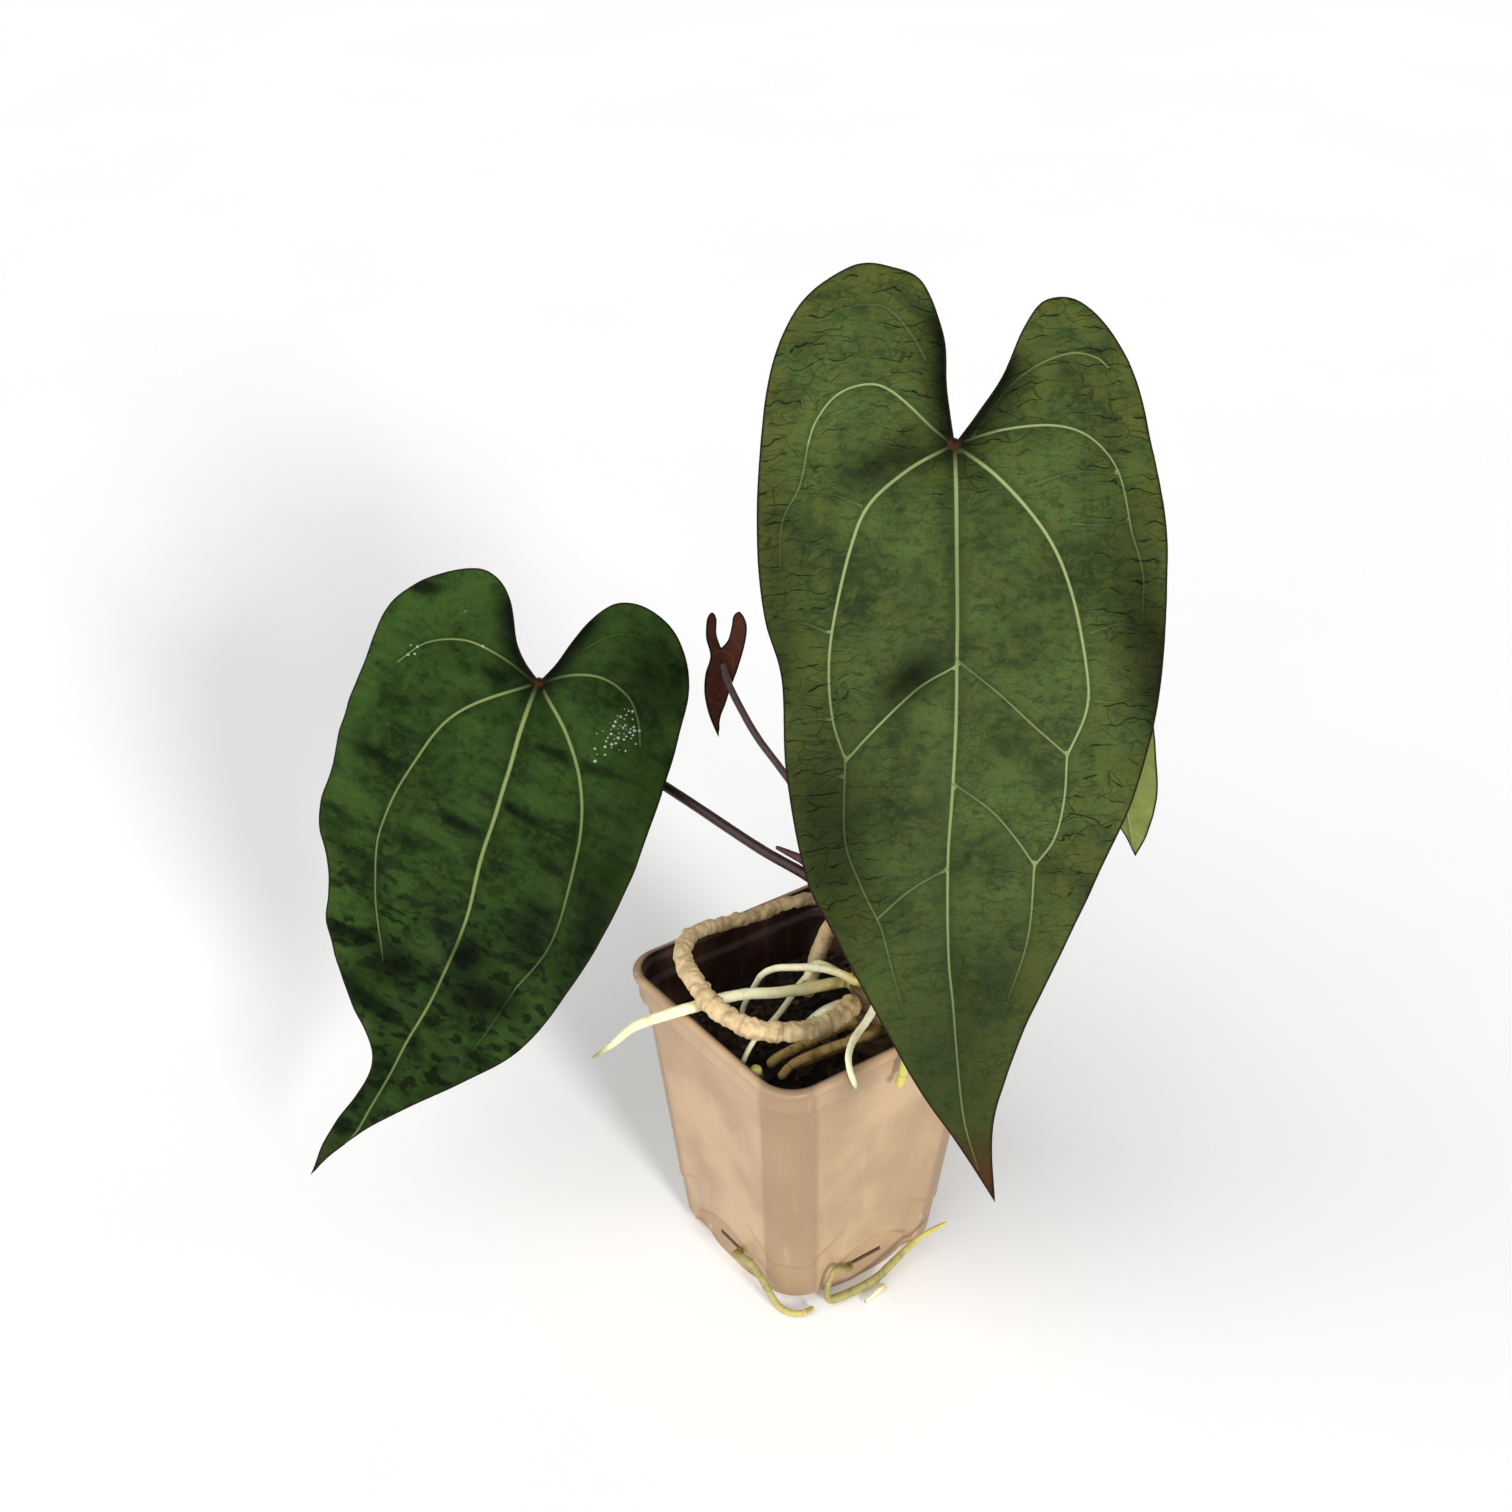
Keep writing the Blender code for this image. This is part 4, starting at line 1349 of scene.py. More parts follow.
@dataclass
class GrownTube:
    """One root or stalk: its line, its thickness, its lumps and the node it stands for."""

    node: str
    name: str
    points: list[Point3]
    radii: list[float]
    knobs: float = 0.12
    knob_length: float = 2.6
    rings: float = 0.08
    ring_length: float = 1.6
    sides: int = 20
    step: float = 0.55
    tip_round: float = 1.0
    seed: float = 0.0

    def take_root(self) -> None:
        """Start the tube inside the stem where it grows from it, and a little thicker."""
        start = Vector(self.points[0])
        middle = Vector((*STEM_AXIS, start.z - SOCKET_DROP))
        if self.node != "stem" and (start - middle).length < STEM_REACH:
            self.points.insert(0, tuple(middle.lerp(start, 0.4)))
            self.radii.insert(0, self.radii[0] * 1.3)

    def line(self) -> bpy.types.Object:
        """Draw the tapered line, rounded off at both ends.

        Returns:
            The curve object.
        """
        spans = 16
        path = [(*p, r.x) for p, r in zip(smooth_path(self.points, spans),
                                          smooth_path([(r, 0, 0) for r in self.radii], spans))]
        places = np.array(path)
        lengths = np.linalg.norm(np.diff(places[:, :3], axis=0), axis=1)
        along = np.concatenate([[0.0], np.cumsum(lengths)])
        count = max(8, round(along[-1] / self.step))
        inner = np.linspace(0.0, along[-1], count)
        ends = self.tip_round * self.radii[0] * (1 - np.cos(np.linspace(0, math.pi / 2, 6)))
        tails = self.tip_round * self.radii[-1] * (1 - np.cos(np.linspace(0, math.pi / 2, 6)))
        marks = np.unique(np.concatenate([inner[(inner > ends[-1]) & (inner < along[-1]
                                                                      - tails[-1])],
                                          ends, along[-1] - tails]))
        rows = np.stack([np.interp(marks, along, c) for c in places.T], 1)
        for k, mark in enumerate(marks):
            for gap, radius in ((mark, self.radii[0]), (along[-1] - mark, self.radii[-1])):
                share = gap / max(self.tip_round * radius, 1e-6)
                if share < 1:
                    rows[k, 3] *= max(0.06, math.sqrt(1 - (1 - share)**2))
        curve = bpy.data.curves.new(self.name, "CURVE")
        curve.dimensions = "3D"
        spline = curve.splines.new("POLY")
        spline.points.add(len(rows) - 1)
        for point, (x, y, z, radius) in zip(spline.points, rows):
            point.co = (x * MM, y * MM, z * MM, 1.0)
            point.radius = radius * MM
        return link_object(self.name + "_line", curve)

    def build(self, grower: Grower, slot: str) -> bpy.types.Object:
        """Make the tube.

        Args:
            grower: The tree with this tube's finish.
            slot: The record's material slot.

        Returns:
            The finished piece.
        """
        sizes = {"Sides": self.sides, "Knobs": self.knobs, "Knob Length": self.knob_length,
                 "Rings": self.rings, "Ring Length": self.ring_length, "Seed": self.seed}
        piece = grower.tree.grow(self.line(), self.name, sizes)
        return settle(piece, slot, self.node)


# ---------------------------------------------------------------- leaves


# Lump size across, along and over a blade, and the part of the noise that it reads.
BROAD_WAVES = ((17.0, 13.0, 1.0), 3.1)
EDGE_WAVES = ((7.0, 9.0, 1.0), 23.3)
RIPPLES = ((9.0, 3.2, 1.0), 11.7)
FOLDS = ((15.0, 6.5, 1.0), 41.9)


@dataclass
class Vein:
    """A vein on the flat blade: half width and paleness at its start and its end."""

    points: list[Point2]
    start: float
    end: float
    tone: float = 1.0
    fade: float = 0.6


@dataclass
class Hollow:
    """A dent in the blade, with painted shade over it; with no depth it is painted shade alone."""

    spot: Point2
    radii: Point2
    turn: float
    depth: float
    shade: float


@dataclass
class Leaf:
    """A heart-shaped blade, bent along its midrib, quilted between its veins."""

    node: str
    name: str
    slot: str
    sinus: Point3
    tip: Point3
    face: Point3
    left: list[Point2]
    right: list[Point2]
    midrib: list[Point2]
    bend: tuple[float, float, float, float]
    veins: list[Vein]
    finish: LeafFinish
    hollows: list[Hollow] = field(default_factory=list)
    thickness: float = 0.55
    spacing: float = 1.0
    quilt: float = 0.8
    waves: float = 0.6
    ripples: float = 0.25
    folds: float = 0.0
    curl: float = 2.5
    sinus_points: int = 3
    sinus_shade: float = 1.0
    wet: list[tuple[Point2, Point2, float]] = field(default_factory=list)

    def axes(self) -> tuple[Vector, Vector, Vector, float]:
        """Find how the blade hangs.

        Returns:
            Across, along and up of the blade, and its length.
        """
        sinus, tip = Vector(self.sinus), Vector(self.tip)
        along = (tip - sinus).normalized()
        up = Vector(self.face)
        up = (up - along * up.dot(along)).normalized()
        return along.cross(up), along, up, (tip - sinus).length

    def outline(self, length: float) -> list[Vector]:
        """Draw the blade's edge, evenly spaced.

        Args:
            length: The blade's length.

        Returns:
            Its points, with no point twice.
        """
        sides = []
        for side in (self.left, self.right):
            path = smooth_path([(0, 0, 0), *((x, y, 0) for x, y in side), (0, length, 0)], 8)
            sides.append(even_path(path, self.spacing))
        return sides[0] + list(reversed(sides[1][1:-1]))

    def flat_cells(self, length: float) -> tuple[np.ndarray, np.ndarray]:
        """Triangles of the flat blade, with edges along its rim and its veins.

        Args:
            length: The blade's length.

        Returns:
            The flat vertices, and the triangles.
        """
        rim = [p.to_2d() for p in self.outline(length)]
        points = list(rim)
        edges = []
        for vein in self.veins:
            path = smooth_path([(x, y, 0) for x, y in vein.points], 6)
            start = len(points)
            chain = [p.to_2d() for p in even_path(path, self.spacing)]
            points.extend(chain)
            edges.extend((k, k + 1) for k in range(start, start + len(chain) - 1))
        fixed = np.array([tuple(p) for p in points])
        low, high = fixed.min(0), fixed.max(0)
        spots = []
        pitch = self.spacing * math.sqrt(0.75)
        for row in range(int((high[1] - low[1]) / pitch) + 1):
            y = low[1] + row * pitch
            offset = self.spacing / 2 if row % 2 else 0.0
            spots.extend((x, y) for x in np.arange(low[0] + offset, high[0], self.spacing))
        spots = np.array(spots)
        closed = np.array([tuple(p) for p in rim + rim[:1]])
        spots = spots[inside(closed, spots)]
        keep = distance_to(closed, spots)[0] > 0.55 * self.spacing
        for vein in self.veins:
            keep &= distance_to(flat_path(vein.points), spots)[0] > 0.5 * self.spacing
        points.extend(Vector(p) for p in spots[keep])
        edges.extend((k, (k + 1) % len(rim)) for k in range(len(rim)))
        result = delaunay_2d_cdt(points, edges, [], 0, 1e-5, False)
        flat = np.array([tuple(v) for v in result[0]])
        cells = np.array([tuple(f) for f in result[2]])
        used, cells = np.unique(cells[inside(closed, flat[cells].mean(1))], return_inverse=True)
        return flat[used], cells.reshape(-1, 3)

    def midrib_at(self, y: np.ndarray) -> np.ndarray:
        """Sideways place of the midrib at each distance from the sinus."""
        xs, ys = zip(*self.midrib)
        return np.interp(y, ys, xs)

    def marks(self, flat: np.ndarray, length: float) -> dict[str, np.ndarray]:
        """What the finish reads at each vertex, and the distances that shape the blade.

        Args:
            flat: The flat vertices.
            length: The blade's length.

        Returns:
            Arrays by name.
        """
        rim = self.outline(length)
        closed = np.array([tuple(p.to_2d()) for p in rim + rim[:1]])
        margin, _ = distance_to(closed, flat)
        vein = np.full(len(flat), 1e3)
        tone = np.zeros(len(flat))
        apart = np.full(len(flat), 1e3)
        for line in self.veins:
            gap, share = distance_to(flat_path(line.points), flat)
            width = line.start + (line.end - line.start) * share
            closer = gap / width < vein
            vein[closer] = (gap / width)[closer]
            tone[closer] = (line.tone + (line.fade - line.tone) * share)[closer]
            if line.start > 0.3:
                apart = np.minimum(apart, gap)
        notch = np.zeros(len(flat))
        for side in (self.left, self.right):
            gap, share = distance_to(flat_path([(0, 0), *side[:self.sinus_points]]), flat)
            notch = np.maximum(notch, np.exp(-(gap / (6.2 - 2.0 * share))**2)
                               * ease(share, 1.0, 0.66))
        joint = np.exp(-(np.linalg.norm(flat, axis=1) / 1.05)**2)
        return {"margin": margin, "vein": vein, "tone": tone, "apart": apart, "notch": notch,
                "joint": joint}

    def heights(self, flat: np.ndarray, marks: dict[str, np.ndarray],
                length: float) -> tuple[np.ndarray, np.ndarray, np.ndarray]:
        """Height of the blade over its chord, and the painted shade and painted light of its folds.

        Args:
            flat: The flat vertices.
            marks: The distances from marks().
            length: The blade's length.

        Returns:
            The heights, the painted shade of the sinus, the folds and the hollows, and the painted
            light on the folds.
        """
        arch, rise, fall, half = self.bend
        x, y = flat[:, 0], flat[:, 1]
        share = y / length
        side = np.abs(x - self.midrib_at(y)) / half
        z = arch * np.where(y < 0, 0.5, 1.0) * 4 * share * (1 - share) + rise * side
        z = z - fall * side**2
        z += self.quilt * (1 - np.exp(-(marks["apart"] / 4.5)**2))
        z += self.waves * 2.0 * lumps(flat, *BROAD_WAVES)
        z += self.ripples * lumps(flat, *RIPPLES) * ease(marks["apart"], 0.5, 3.0)
        z += self.folds * self.fold(flat) * ease(marks["apart"], 0.0, 4.0)
        z += self.waves * lumps(flat, *EDGE_WAVES) * np.exp(-marks["margin"] / 6.0) * 1.6
        z -= self.curl * marks["notch"]
        z += 0.16 * ease(marks["vein"], 1.5, 0.0) * marks["tone"]
        # Painted shade along the inner edges of the lobes by the sinus.
        shade = self.sinus_shade * marks["notch"]
        # Painted light on the fold sides that face the sinus, painted shade on the fold sides that
        # face the tip.
        step = np.array((0.3, 1.4))
        fall_off = self.fold(flat - step) - self.fold(flat + step)
        fall_off /= np.abs(fall_off).max()
        amount = min(1.0, self.folds) * ease(marks["apart"], 0.3, 2.5)
        lift = 0.9 * amount * ease(-fall_off, 0.10, 0.75)
        shade = np.maximum(shade, 0.85 * amount * ease(fall_off, 0.15, 0.85))
        # Each hollow dents the blade and paints shade over it.
        for hollow in self.hollows:
            dx, dy = x - hollow.spot[0], y - hollow.spot[1]
            cos, sin = math.cos(hollow.turn), math.sin(hollow.turn)
            u = (dx * cos + dy * sin) / hollow.radii[0]
            v = (-dx * sin + dy * cos) / hollow.radii[1]
            dent = np.exp(-u * u - v * v)
            z -= hollow.depth * dent
            shade = np.maximum(shade, hollow.shade * dent)
        return z, shade, lift * (1 - shade)

    def fold(self, flat: np.ndarray) -> np.ndarray:
        """Height of the soft folds between the veins."""
        return lumps(flat, *FOLDS)

    def build(self) -> bpy.types.Object:
        """Make the blade.

        Returns:
            The leaf's object.
        """
        length = self.axes()[3]
        flat, cells = self.flat_cells(length)
        marks = self.marks(flat, length)
        z, shade, lift = self.heights(flat, marks, length)
        spots, faces = self.sheet(np.column_stack([flat, z]), cells, marks)
        mesh = bpy.data.meshes.new(self.name)
        mesh.from_pydata((spots * MM).tolist(), [], faces)
        mesh.update()
        twice = {"vein": marks["vein"], "tone": marks["tone"], "shade": shade, "lift": lift,
                 "joint": marks["joint"], "wet": self.wetness(flat)}
        for name, values in twice.items():
            store(mesh, name, np.concatenate([values, values]))
        store(mesh, "side", np.repeat([1.0, -1.0], len(flat)))
        store(mesh, "leaf", np.tile(np.column_stack([flat, marks["margin"]]), (2, 1)))
        mesh.shade_smooth()
        mesh.materials.append(self.finish.dress(self.slot))
        return settle(link_object(self.name, mesh), self.slot, self.node)

    def sheet(self, bent: np.ndarray, cells: np.ndarray,
              marks: dict[str, np.ndarray]) -> tuple[np.ndarray, list[tuple[int, ...]]]:
        """Hang the blade in its place and give it thickness.

        Args:
            bent: The blade's vertices across, along and over its chord.
            cells: Its triangles.
            marks: The distances from marks().

        Returns:
            The vertices, with the upper face's first, and the faces.
        """
        across, along, up, _ = self.axes()
        middle = np.array(self.sinus) + bent @ np.array([tuple(across), tuple(along), tuple(up)])
        cross = np.cross(middle[cells[:, 1]] - middle[cells[:, 0]],
                         middle[cells[:, 2]] - middle[cells[:, 0]])
        if (cross @ np.array(up)).sum() < 0:
            cells = cells[:, ::-1]
            cross = -cross
        normals = np.zeros_like(middle)
        for corner in range(3):
            np.add.at(normals, cells[:, corner], cross)
        normals /= np.linalg.norm(normals, axis=1)[:, None]
        thin = self.thickness * (0.35 + 0.65 * ease(marks["margin"], 0.0, 3.0)) / 2
        ridge = 0.5 * ease(marks["vein"], 1.8, 0.2) * ease(marks["apart"], 2.5, 0.3)
        top = middle + normals * thin[:, None]
        low = middle - normals * (thin + ridge)[:, None]
        count = len(middle)
        upper = [tuple(int(i) for i in cell) for cell in cells]
        sides = dict.fromkeys((a, b) for x, y, z in upper for a, b in ((x, y), (y, z), (z, x)))
        faces = upper + [tuple(i + count for i in reversed(cell)) for cell in upper]
        faces += [(b, a, a + count, b + count) for a, b in sides if (b, a) not in sides]
        return np.vstack([top, low]), faces

    def wetness(self, flat: np.ndarray) -> np.ndarray:
        """Find how thickly drops lie at each vertex.

        Args:
            flat: The flat vertices.

        Returns:
            The shares.
        """
        wet = np.zeros(len(flat))
        for spot, radii, amount in self.wet:
            away = (flat - np.array(spot)) / np.array(radii)
            wet = np.maximum(wet, amount * np.exp(-(away**2).sum(1)**2))
        return np.where(wet < 0.05, 0.0, wet)


@dataclass
class Dew:
    """A cluster of drops that stands on a leaf's upper face."""

    leaf: bpy.types.Object
    name: str = "leaf_left_drops"
    slot: str = "blade_deep_green"
    spacing: float = 0.85
    low: float = 0.15
    high: float = 0.52
    seed: int = 4
    finish: DewFinish = field(default_factory=DewFinish)

    def build(self) -> bpy.types.Object:
        """Make the drops.

        Returns:
            The finished piece.
        """
        tree = Pattern("dew")
        spacing = tree.knob("Spacing", self.spacing * MM)
        low = tree.knob("Smallest", self.low * MM)
        high = tree.knob("Largest", self.high * MM)
        seed = tree.knob("Seed", self.seed, "NodeSocketInt")
        side = tree.named("side")
        upper = side.math("GREATER_THAN", side, 0.5)
        points = tree.strew(upper, spacing, 1.6e6, tree.named("wet"), seed)
        ball = tree.add("GeometryNodeMeshIcoSphere", {}, {"Radius": 1.0, "Subdivisions": 2})
        scale = tree.chance(low, high, seed)
        stretch = tree.add("ShaderNodeCombineXYZ", {}, {"X": scale, "Y": scale * 0.9,
                                                        "Z": scale * 0.5})
        laid = tree.add("GeometryNodeInstanceOnPoints", {},
                        {"Points": points, "Instance": ball,
                         "Rotation": points.output("Rotation"), "Scale": stretch})
        smooth = tree.add("GeometryNodeSetShadeSmooth", {}, {"Geometry": laid})
        tree.close(smooth, self.finish.dress("dew"))
        host = link_object("dew_host", self.leaf.data.copy())
        piece = tree.grow(host, self.name, {"Spacing": self.spacing * MM, "Smallest": self.low * MM,
                                            "Largest": self.high * MM, "Seed": self.seed})
        return settle(piece, self.slot)


# ---------------------------------------------------------------- the plant's own sizes


class Skin(Enum):
    """The finishes that roots and stalks may have."""

    TAN = "root_tan"
    CREAM = "root_cream"
    BROWN = "root_brown"
    LIME = "root_lime"
    STEM = "stem_brown"
    PURPLE = "petiole_purple"
    GREY_PURPLE = "petiole_grey_purple"
    WINE = "sheath_wine"

    def finish(self) -> RootFinish | StalkFinish:
        """Give the finish that the name stands for.

        Returns:
            The finish.
        """
        return {
            Skin.TAN: RootFinish((0.24, 0.15, 0.065), (0.58, 0.43, 0.23), (0.48, 0.32, 0.15),
                                 (0.20, 0.110, 0.045), 0.72, 0.62, 0.9),
            Skin.CREAM: RootFinish((0.62, 0.50, 0.15), (0.92, 0.88, 0.58), (0.27, 0.27, 0.10),
                                   (0.50, 0.40, 0.14), 0.5, 0.24, 0.90),
            Skin.BROWN: RootFinish((0.26, 0.15, 0.04), (0.44, 0.29, 0.09), (0.48, 0.35, 0.10),
                                   (0.06, 0.030, 0.010), 0.7, 0.7, 0.8),
            Skin.LIME: RootFinish((0.26, 0.19, 0.05), (0.35, 0.31, 0.11), (0.56, 0.50, 0.12),
                                  (0.14, 0.10, 0.03), 0.55, 0.55, 0.62),
            Skin.STEM: RootFinish((0.11, 0.06, 0.03), (0.15, 0.10, 0.045), (0.10, 0.10, 0.04),
                                  (0.035, 0.02, 0.01), 0.8, 0.8, 0.7),
            Skin.PURPLE: StalkFinish((0.045, 0.012, 0.010), (0.016, 0.006, 0.009),
                                     (0.085, 0.045, 0.030)),
            Skin.GREY_PURPLE: StalkFinish((0.050, 0.022, 0.022), (0.085, 0.045, 0.042),
                                          (0.16, 0.10, 0.09)),
            Skin.WINE: StalkFinish((0.11, 0.018, 0.016), (0.060, 0.012, 0.012),
                                   (0.17, 0.06, 0.04), 0.5),
        }[self]


class Stalks:
    """Petioles, the sheath and the short stem."""

    def tubes(self) -> dict[Skin, list[GrownTube]]:
        """Lay out every stalk.

        Returns:
            The stalks under their finish.
        """
        smooth = {"knobs": 0.05, "rings": 0.03, "ring_length": 3.0, "knob_length": 6.0}
        return {
            Skin.PURPLE: [
                GrownTube("petiole_large", "petiole_of_large_leaf", [
                    (12.6, 13.4, 98.3), (11, 18, 118), (7.5, 24, 150), (5, 28, 180),
                    (5.5, 30, 204), (9, 29.5, 216), (13, 27, 220.8), (15.1, 25.5, 222.3)],
                    [2.4, 2.0, 1.9, 1.8, 1.8, 2.0, 1.9, 0.9], seed=1, **smooth),
                GrownTube("petiole_left", "petiole_of_left_leaf", [
                    (5.0, 15.0, 92), (-3, 12.2, 97), (-13, 8, 101.4), (-26, 3, 104.5),
                    (-47, -3, 109.4), (-65, -8, 113.4), (-75, -11, 117), (-82, -15, 122.4),
                    (-86, -20, 130), (-86, -24, 134.6), (-83.9, -25.2, 136.0)],
                    [1.8, 1.5, 1.4, 1.35, 1.3, 1.3, 1.3, 1.4, 1.7, 1.6, 0.8], seed=2, **smooth),
                GrownTube("petiole_back", "petiole_of_back_leaf", [
                    (14, 19.9, 90), (16, 30, 112), (18, 44, 138), (18, 54, 155),
                    (17.2, 60, 165), (16.2, 64.2, 169.5)],
                    [1.6, 1.3, 1.2, 1.2, 1.4, 1.2], seed=3, **smooth),
            ],
            Skin.GREY_PURPLE: [
                GrownTube("petiole_new", "petiole_of_new_leaf", [
                    (6.8, 17.4, 88), (-4, 21, 93), (-18, 24, 98), (-43, 25, 109),
                    (-55, 24, 116), (-61.5, 23, 122.5), (-66, 22, 129), (-68.3, 22, 133.8)],
                    [1.3, 1.1, 1.0, 1.0, 1.0, 1.0, 0.95, 0.8], seed=4, **smooth),
            ],
            Skin.WINE: [
                GrownTube("cataphyll", "dry_sheath", [
                    (4.8, 14.4, 98.2), (-2, 13.4, 101.6), (-13, 9, 104.6), (-22, 5.2, 106.2)],
                    [1.9, 1.8, 1.3, 0.5], knobs=0.2, knob_length=5.0, rings=0.08, seed=5),
            ],
            Skin.STEM: [
                GrownTube("stem", "short_stem", [
                    (12, 12, 56), (12, 12, 70), (11.8, 12, 82), (12, 12.4, 92), (12.5, 13, 97)],
                    [5.6, 6.4, 6.3, 5.8, 4.6], knobs=0.22, knob_length=5.0, rings=0.16,
                    ring_length=1.8, sides=48, seed=6),
            ],
        }

    def build(self) -> None:
        """Make every stalk."""
        build_tubes(self.tubes())


class Roots:
    """Thick aerial roots, the thin ones beside them and the roots from the drain slots."""

    def tubes(self) -> dict[Skin, list[GrownTube]]:
        """Lay out every root.

        Returns:
            The roots under their finish.
        """
        low_radii = [1.4, 1.3, 1.3, 1.2, 1.1]
        return {
            Skin.TAN: [
                GrownTube("root_loop", "loop_root", [
                    (7.2, 18.2, 82), (1, 22.5, 83), (-9, 26, 83.6), (-18, 25.5, 83.6),
                    (-24, 20, 83.4), (-26, 11, 84), (-25, 2, 85), (-26, -9, 86),
                    (-26.6, -16, 86.4), (-24.6, -21, 86.8), (-18, -26.6, 87.4), (-8, -30, 88),
                    (0, -31, 87), (7, -30, 86), (12, -27, 84.5), (15, -22, 83),
                    (17, -15, 81.5), (17, -8, 80.5), (15.5, -2, 80), (13, 4.2, 79.5)],
                    [2.0, 1.9, 1.8, 1.8, 1.7, 1.7, 1.75, 1.8, 1.9, 2.1, 2.2, 2.4, 2.5, 2.5,
                     2.5, 2.5, 2.5, 2.4, 2.5, 2.8],
                    knobs=0.52, knob_length=2.3, rings=0.20, ring_length=2.1, sides=32,
                    step=0.4, seed=11),
                GrownTube("root_aerial", "rising_root", [
                    (4.0, 11.2, 85), (-1.5, 13.2, 88), (-7, 15, 88), (-10, 14.4, 85),
                    (-11, 12.4, 80), (-11.4, 10, 73.5), (-9, 5.6, 66.4)],
                    [2.4, 2.3, 2.3, 2.2, 2.2, 2.1, 1.9], knobs=0.16, knob_length=3.4,
                    rings=0.08, sides=28, seed=12),
            ],
            Skin.CREAM: [
                GrownTube("root_pale", "pale_root", [
                    (4.2, 8.6, 78), (3.4, 4, 79), (3, -5, 81), (1, -12, 81.8), (-3, -19, 82),
                    (-5, -26, 82), (-6, -32, 82), (-7.5, -40, 82), (-8, -48, 82),
                    (-6.5, -55, 81), (-6, -61, 80)],
                    [1.6, 1.5, 1.5, 1.4, 1.4, 1.4, 1.45, 1.35, 1.15, 0.8, 0.3],
                    knobs=0.12, knob_length=3.5, rings=0.06, sides=26, seed=13),
                GrownTube("root_arch", "arching_root", [
                    (12, 4.8, 84.4), (10, 1, 87.5), (7, -3, 89), (3, -8, 89),
                    (-1.5, -10.5, 87), (-4.5, -12, 84), (-7, -12.6, 79), (-9.5, -14, 72),
                    (-10, -14.5, 66.5)],
                    [1.1, 1.0, 1.0, 0.9, 0.85, 0.8, 0.75, 0.7, 0.6], seed=14),
                GrownTube("root_hook", "hooked_root", [
                    (8.2, 4.6, 84), (4.6, 0.4, 87), (1.6, -0.4, 85.6), (0.4, -1.6, 82),
                    (-1.6, -3, 78), (0, -8, 75.5), (1.6, -13, 74), (2.4, -18, 72.5),
                    (3.4, -22, 70), (4.6, -25, 67)],
                    [1.0, 1.0, 0.9, 0.9, 0.8, 0.8, 0.75, 0.7, 0.65, 0.6], seed=15),
                GrownTube("root_branch", "side_root", [
                    (7.4, 6.2, 74.6), (4, 3.6, 72.4), (1.5, 1.2, 69.5), (-0.5, -1.5, 65.8)],
                    [1.1, 1.0, 1.0, 0.9], seed=16),
                GrownTube("root_white", "white_root", [
                    (16.5, 5.8, 84.6), (20, 3, 86.2), (24.5, 0.5, 86.6), (28, -5, 86.4),
                    (31, -11, 86), (34, -15, 85), (36.2, -16.4, 83), (37.2, -16, 80),
                    (37, -14.6, 76)],
                    [1.1, 1.0, 1.0, 0.95, 0.9, 0.8, 0.75, 0.7, 0.3], seed=17),
                GrownTube("drain_root_tip", "drain_root_tip_skin", [
                    (32.6, 0.4, 1.4), (33.4, -3, 1.2), (34.2, -7.6, 1.0)],
                    [0.7, 0.6, 0.35], seed=18),
            ],
            Skin.BROWN: [
                GrownTube("root_low_front", "low_root_front", [
                    (18.5, 5.6, 72), (19, -1, 73.4), (17.6, -8, 73), (14.8, -16, 70.6),
                    (14.2, -20.5, 67.4)], low_radii, seed=19),
                GrownTube("root_low_middle", "low_root_middle", [
                    (13.4, 4.2, 68.4), (14.8, -2, 69), (14, -9, 68.6), (12, -14, 66.6)],
                    [1.4, 1.3, 1.2, 1.1], seed=20),
                GrownTube("root_low_back", "low_root_back", [
                    (9.4, 4.4, 70), (9.6, -2, 70), (8.6, -9, 69), (7.4, -15, 67.4),
                    (7.4, -19, 66.2)], low_radii, seed=21),
            ],
            Skin.LIME: [
                GrownTube("root_over_rim", "root_over_the_rim", [
                    (19.4, 11.6, 82), (26, 8.4, 85.4), (32, 4.4, 85.6), (36.4, 1.2, 83),
                    (37.4, -0.4, 77), (37.2, -1.8, 71)],
                    [1.2, 1.15, 1.15, 1.15, 1.2, 1.15], seed=22),
                GrownTube("root_stub", "root_stub_skin", [
                    (10.8, -23.6, 66.6), (12.6, -26, 70.4), (15, -28.2, 74.6)],
                    [1.2, 1.4, 1.6], seed=23),
                GrownTube("drain_root_left", "drain_root_by_the_left_niche", [
                    (4, -24.2, 6), (5, -27.4, 6.4), (8, -29.2, 9.5), (13, -29.6, 11.8),
                    (17.6, -29.2, 10.4), (21, -28.2, 6), (23.6, -27.2, 2.6),
                    (26.2, -25.4, 1.4), (28, -22.8, 1.3), (28, -19.4, 1.3)],
                    [0.9, 0.9, 0.95, 1.0, 1.0, 0.9, 0.9, 0.85, 0.75, 0.6], seed=24),
                GrownTube("drain_root_front", "drain_root_by_the_front_niche", [
                    (24.2, -5, 6), (27, -6.6, 6.8), (29, -10.5, 10.3), (29.6, -14, 12.4),
                    (29.4, -15.6, 8.5), (29, -15.8, 4.4), (29, -14.6, 2), (29.6, -11, 1.7),
                    (30.2, -5, 1.8), (30.4, 0.5, 2.8), (29.8, 6, 4.4), (29.6, 11, 6.4),
                    (30.4, 15.5, 8.8), (33, 20.5, 12)],
                    [0.7, 0.7, 0.7, 0.7, 0.7, 0.8, 1.1, 1.15, 1.15, 1.1, 1.0, 0.85, 0.7, 0.45],
                    seed=25),
            ],
        }

    def build(self) -> None:
        """Make every root."""
        build_tubes(self.tubes())


def build_tubes(groups: dict[Skin, list[GrownTube]]) -> None:
    """Make the tubes of each finish with one tree.

    Args:
        groups: The tubes under their finish.
    """
    for skin, tubes in groups.items():
        grower = Grower(skin.finish().dress(skin.value))
        for tube in tubes:
            tube.take_root()
            tube.build(grower, skin.value)


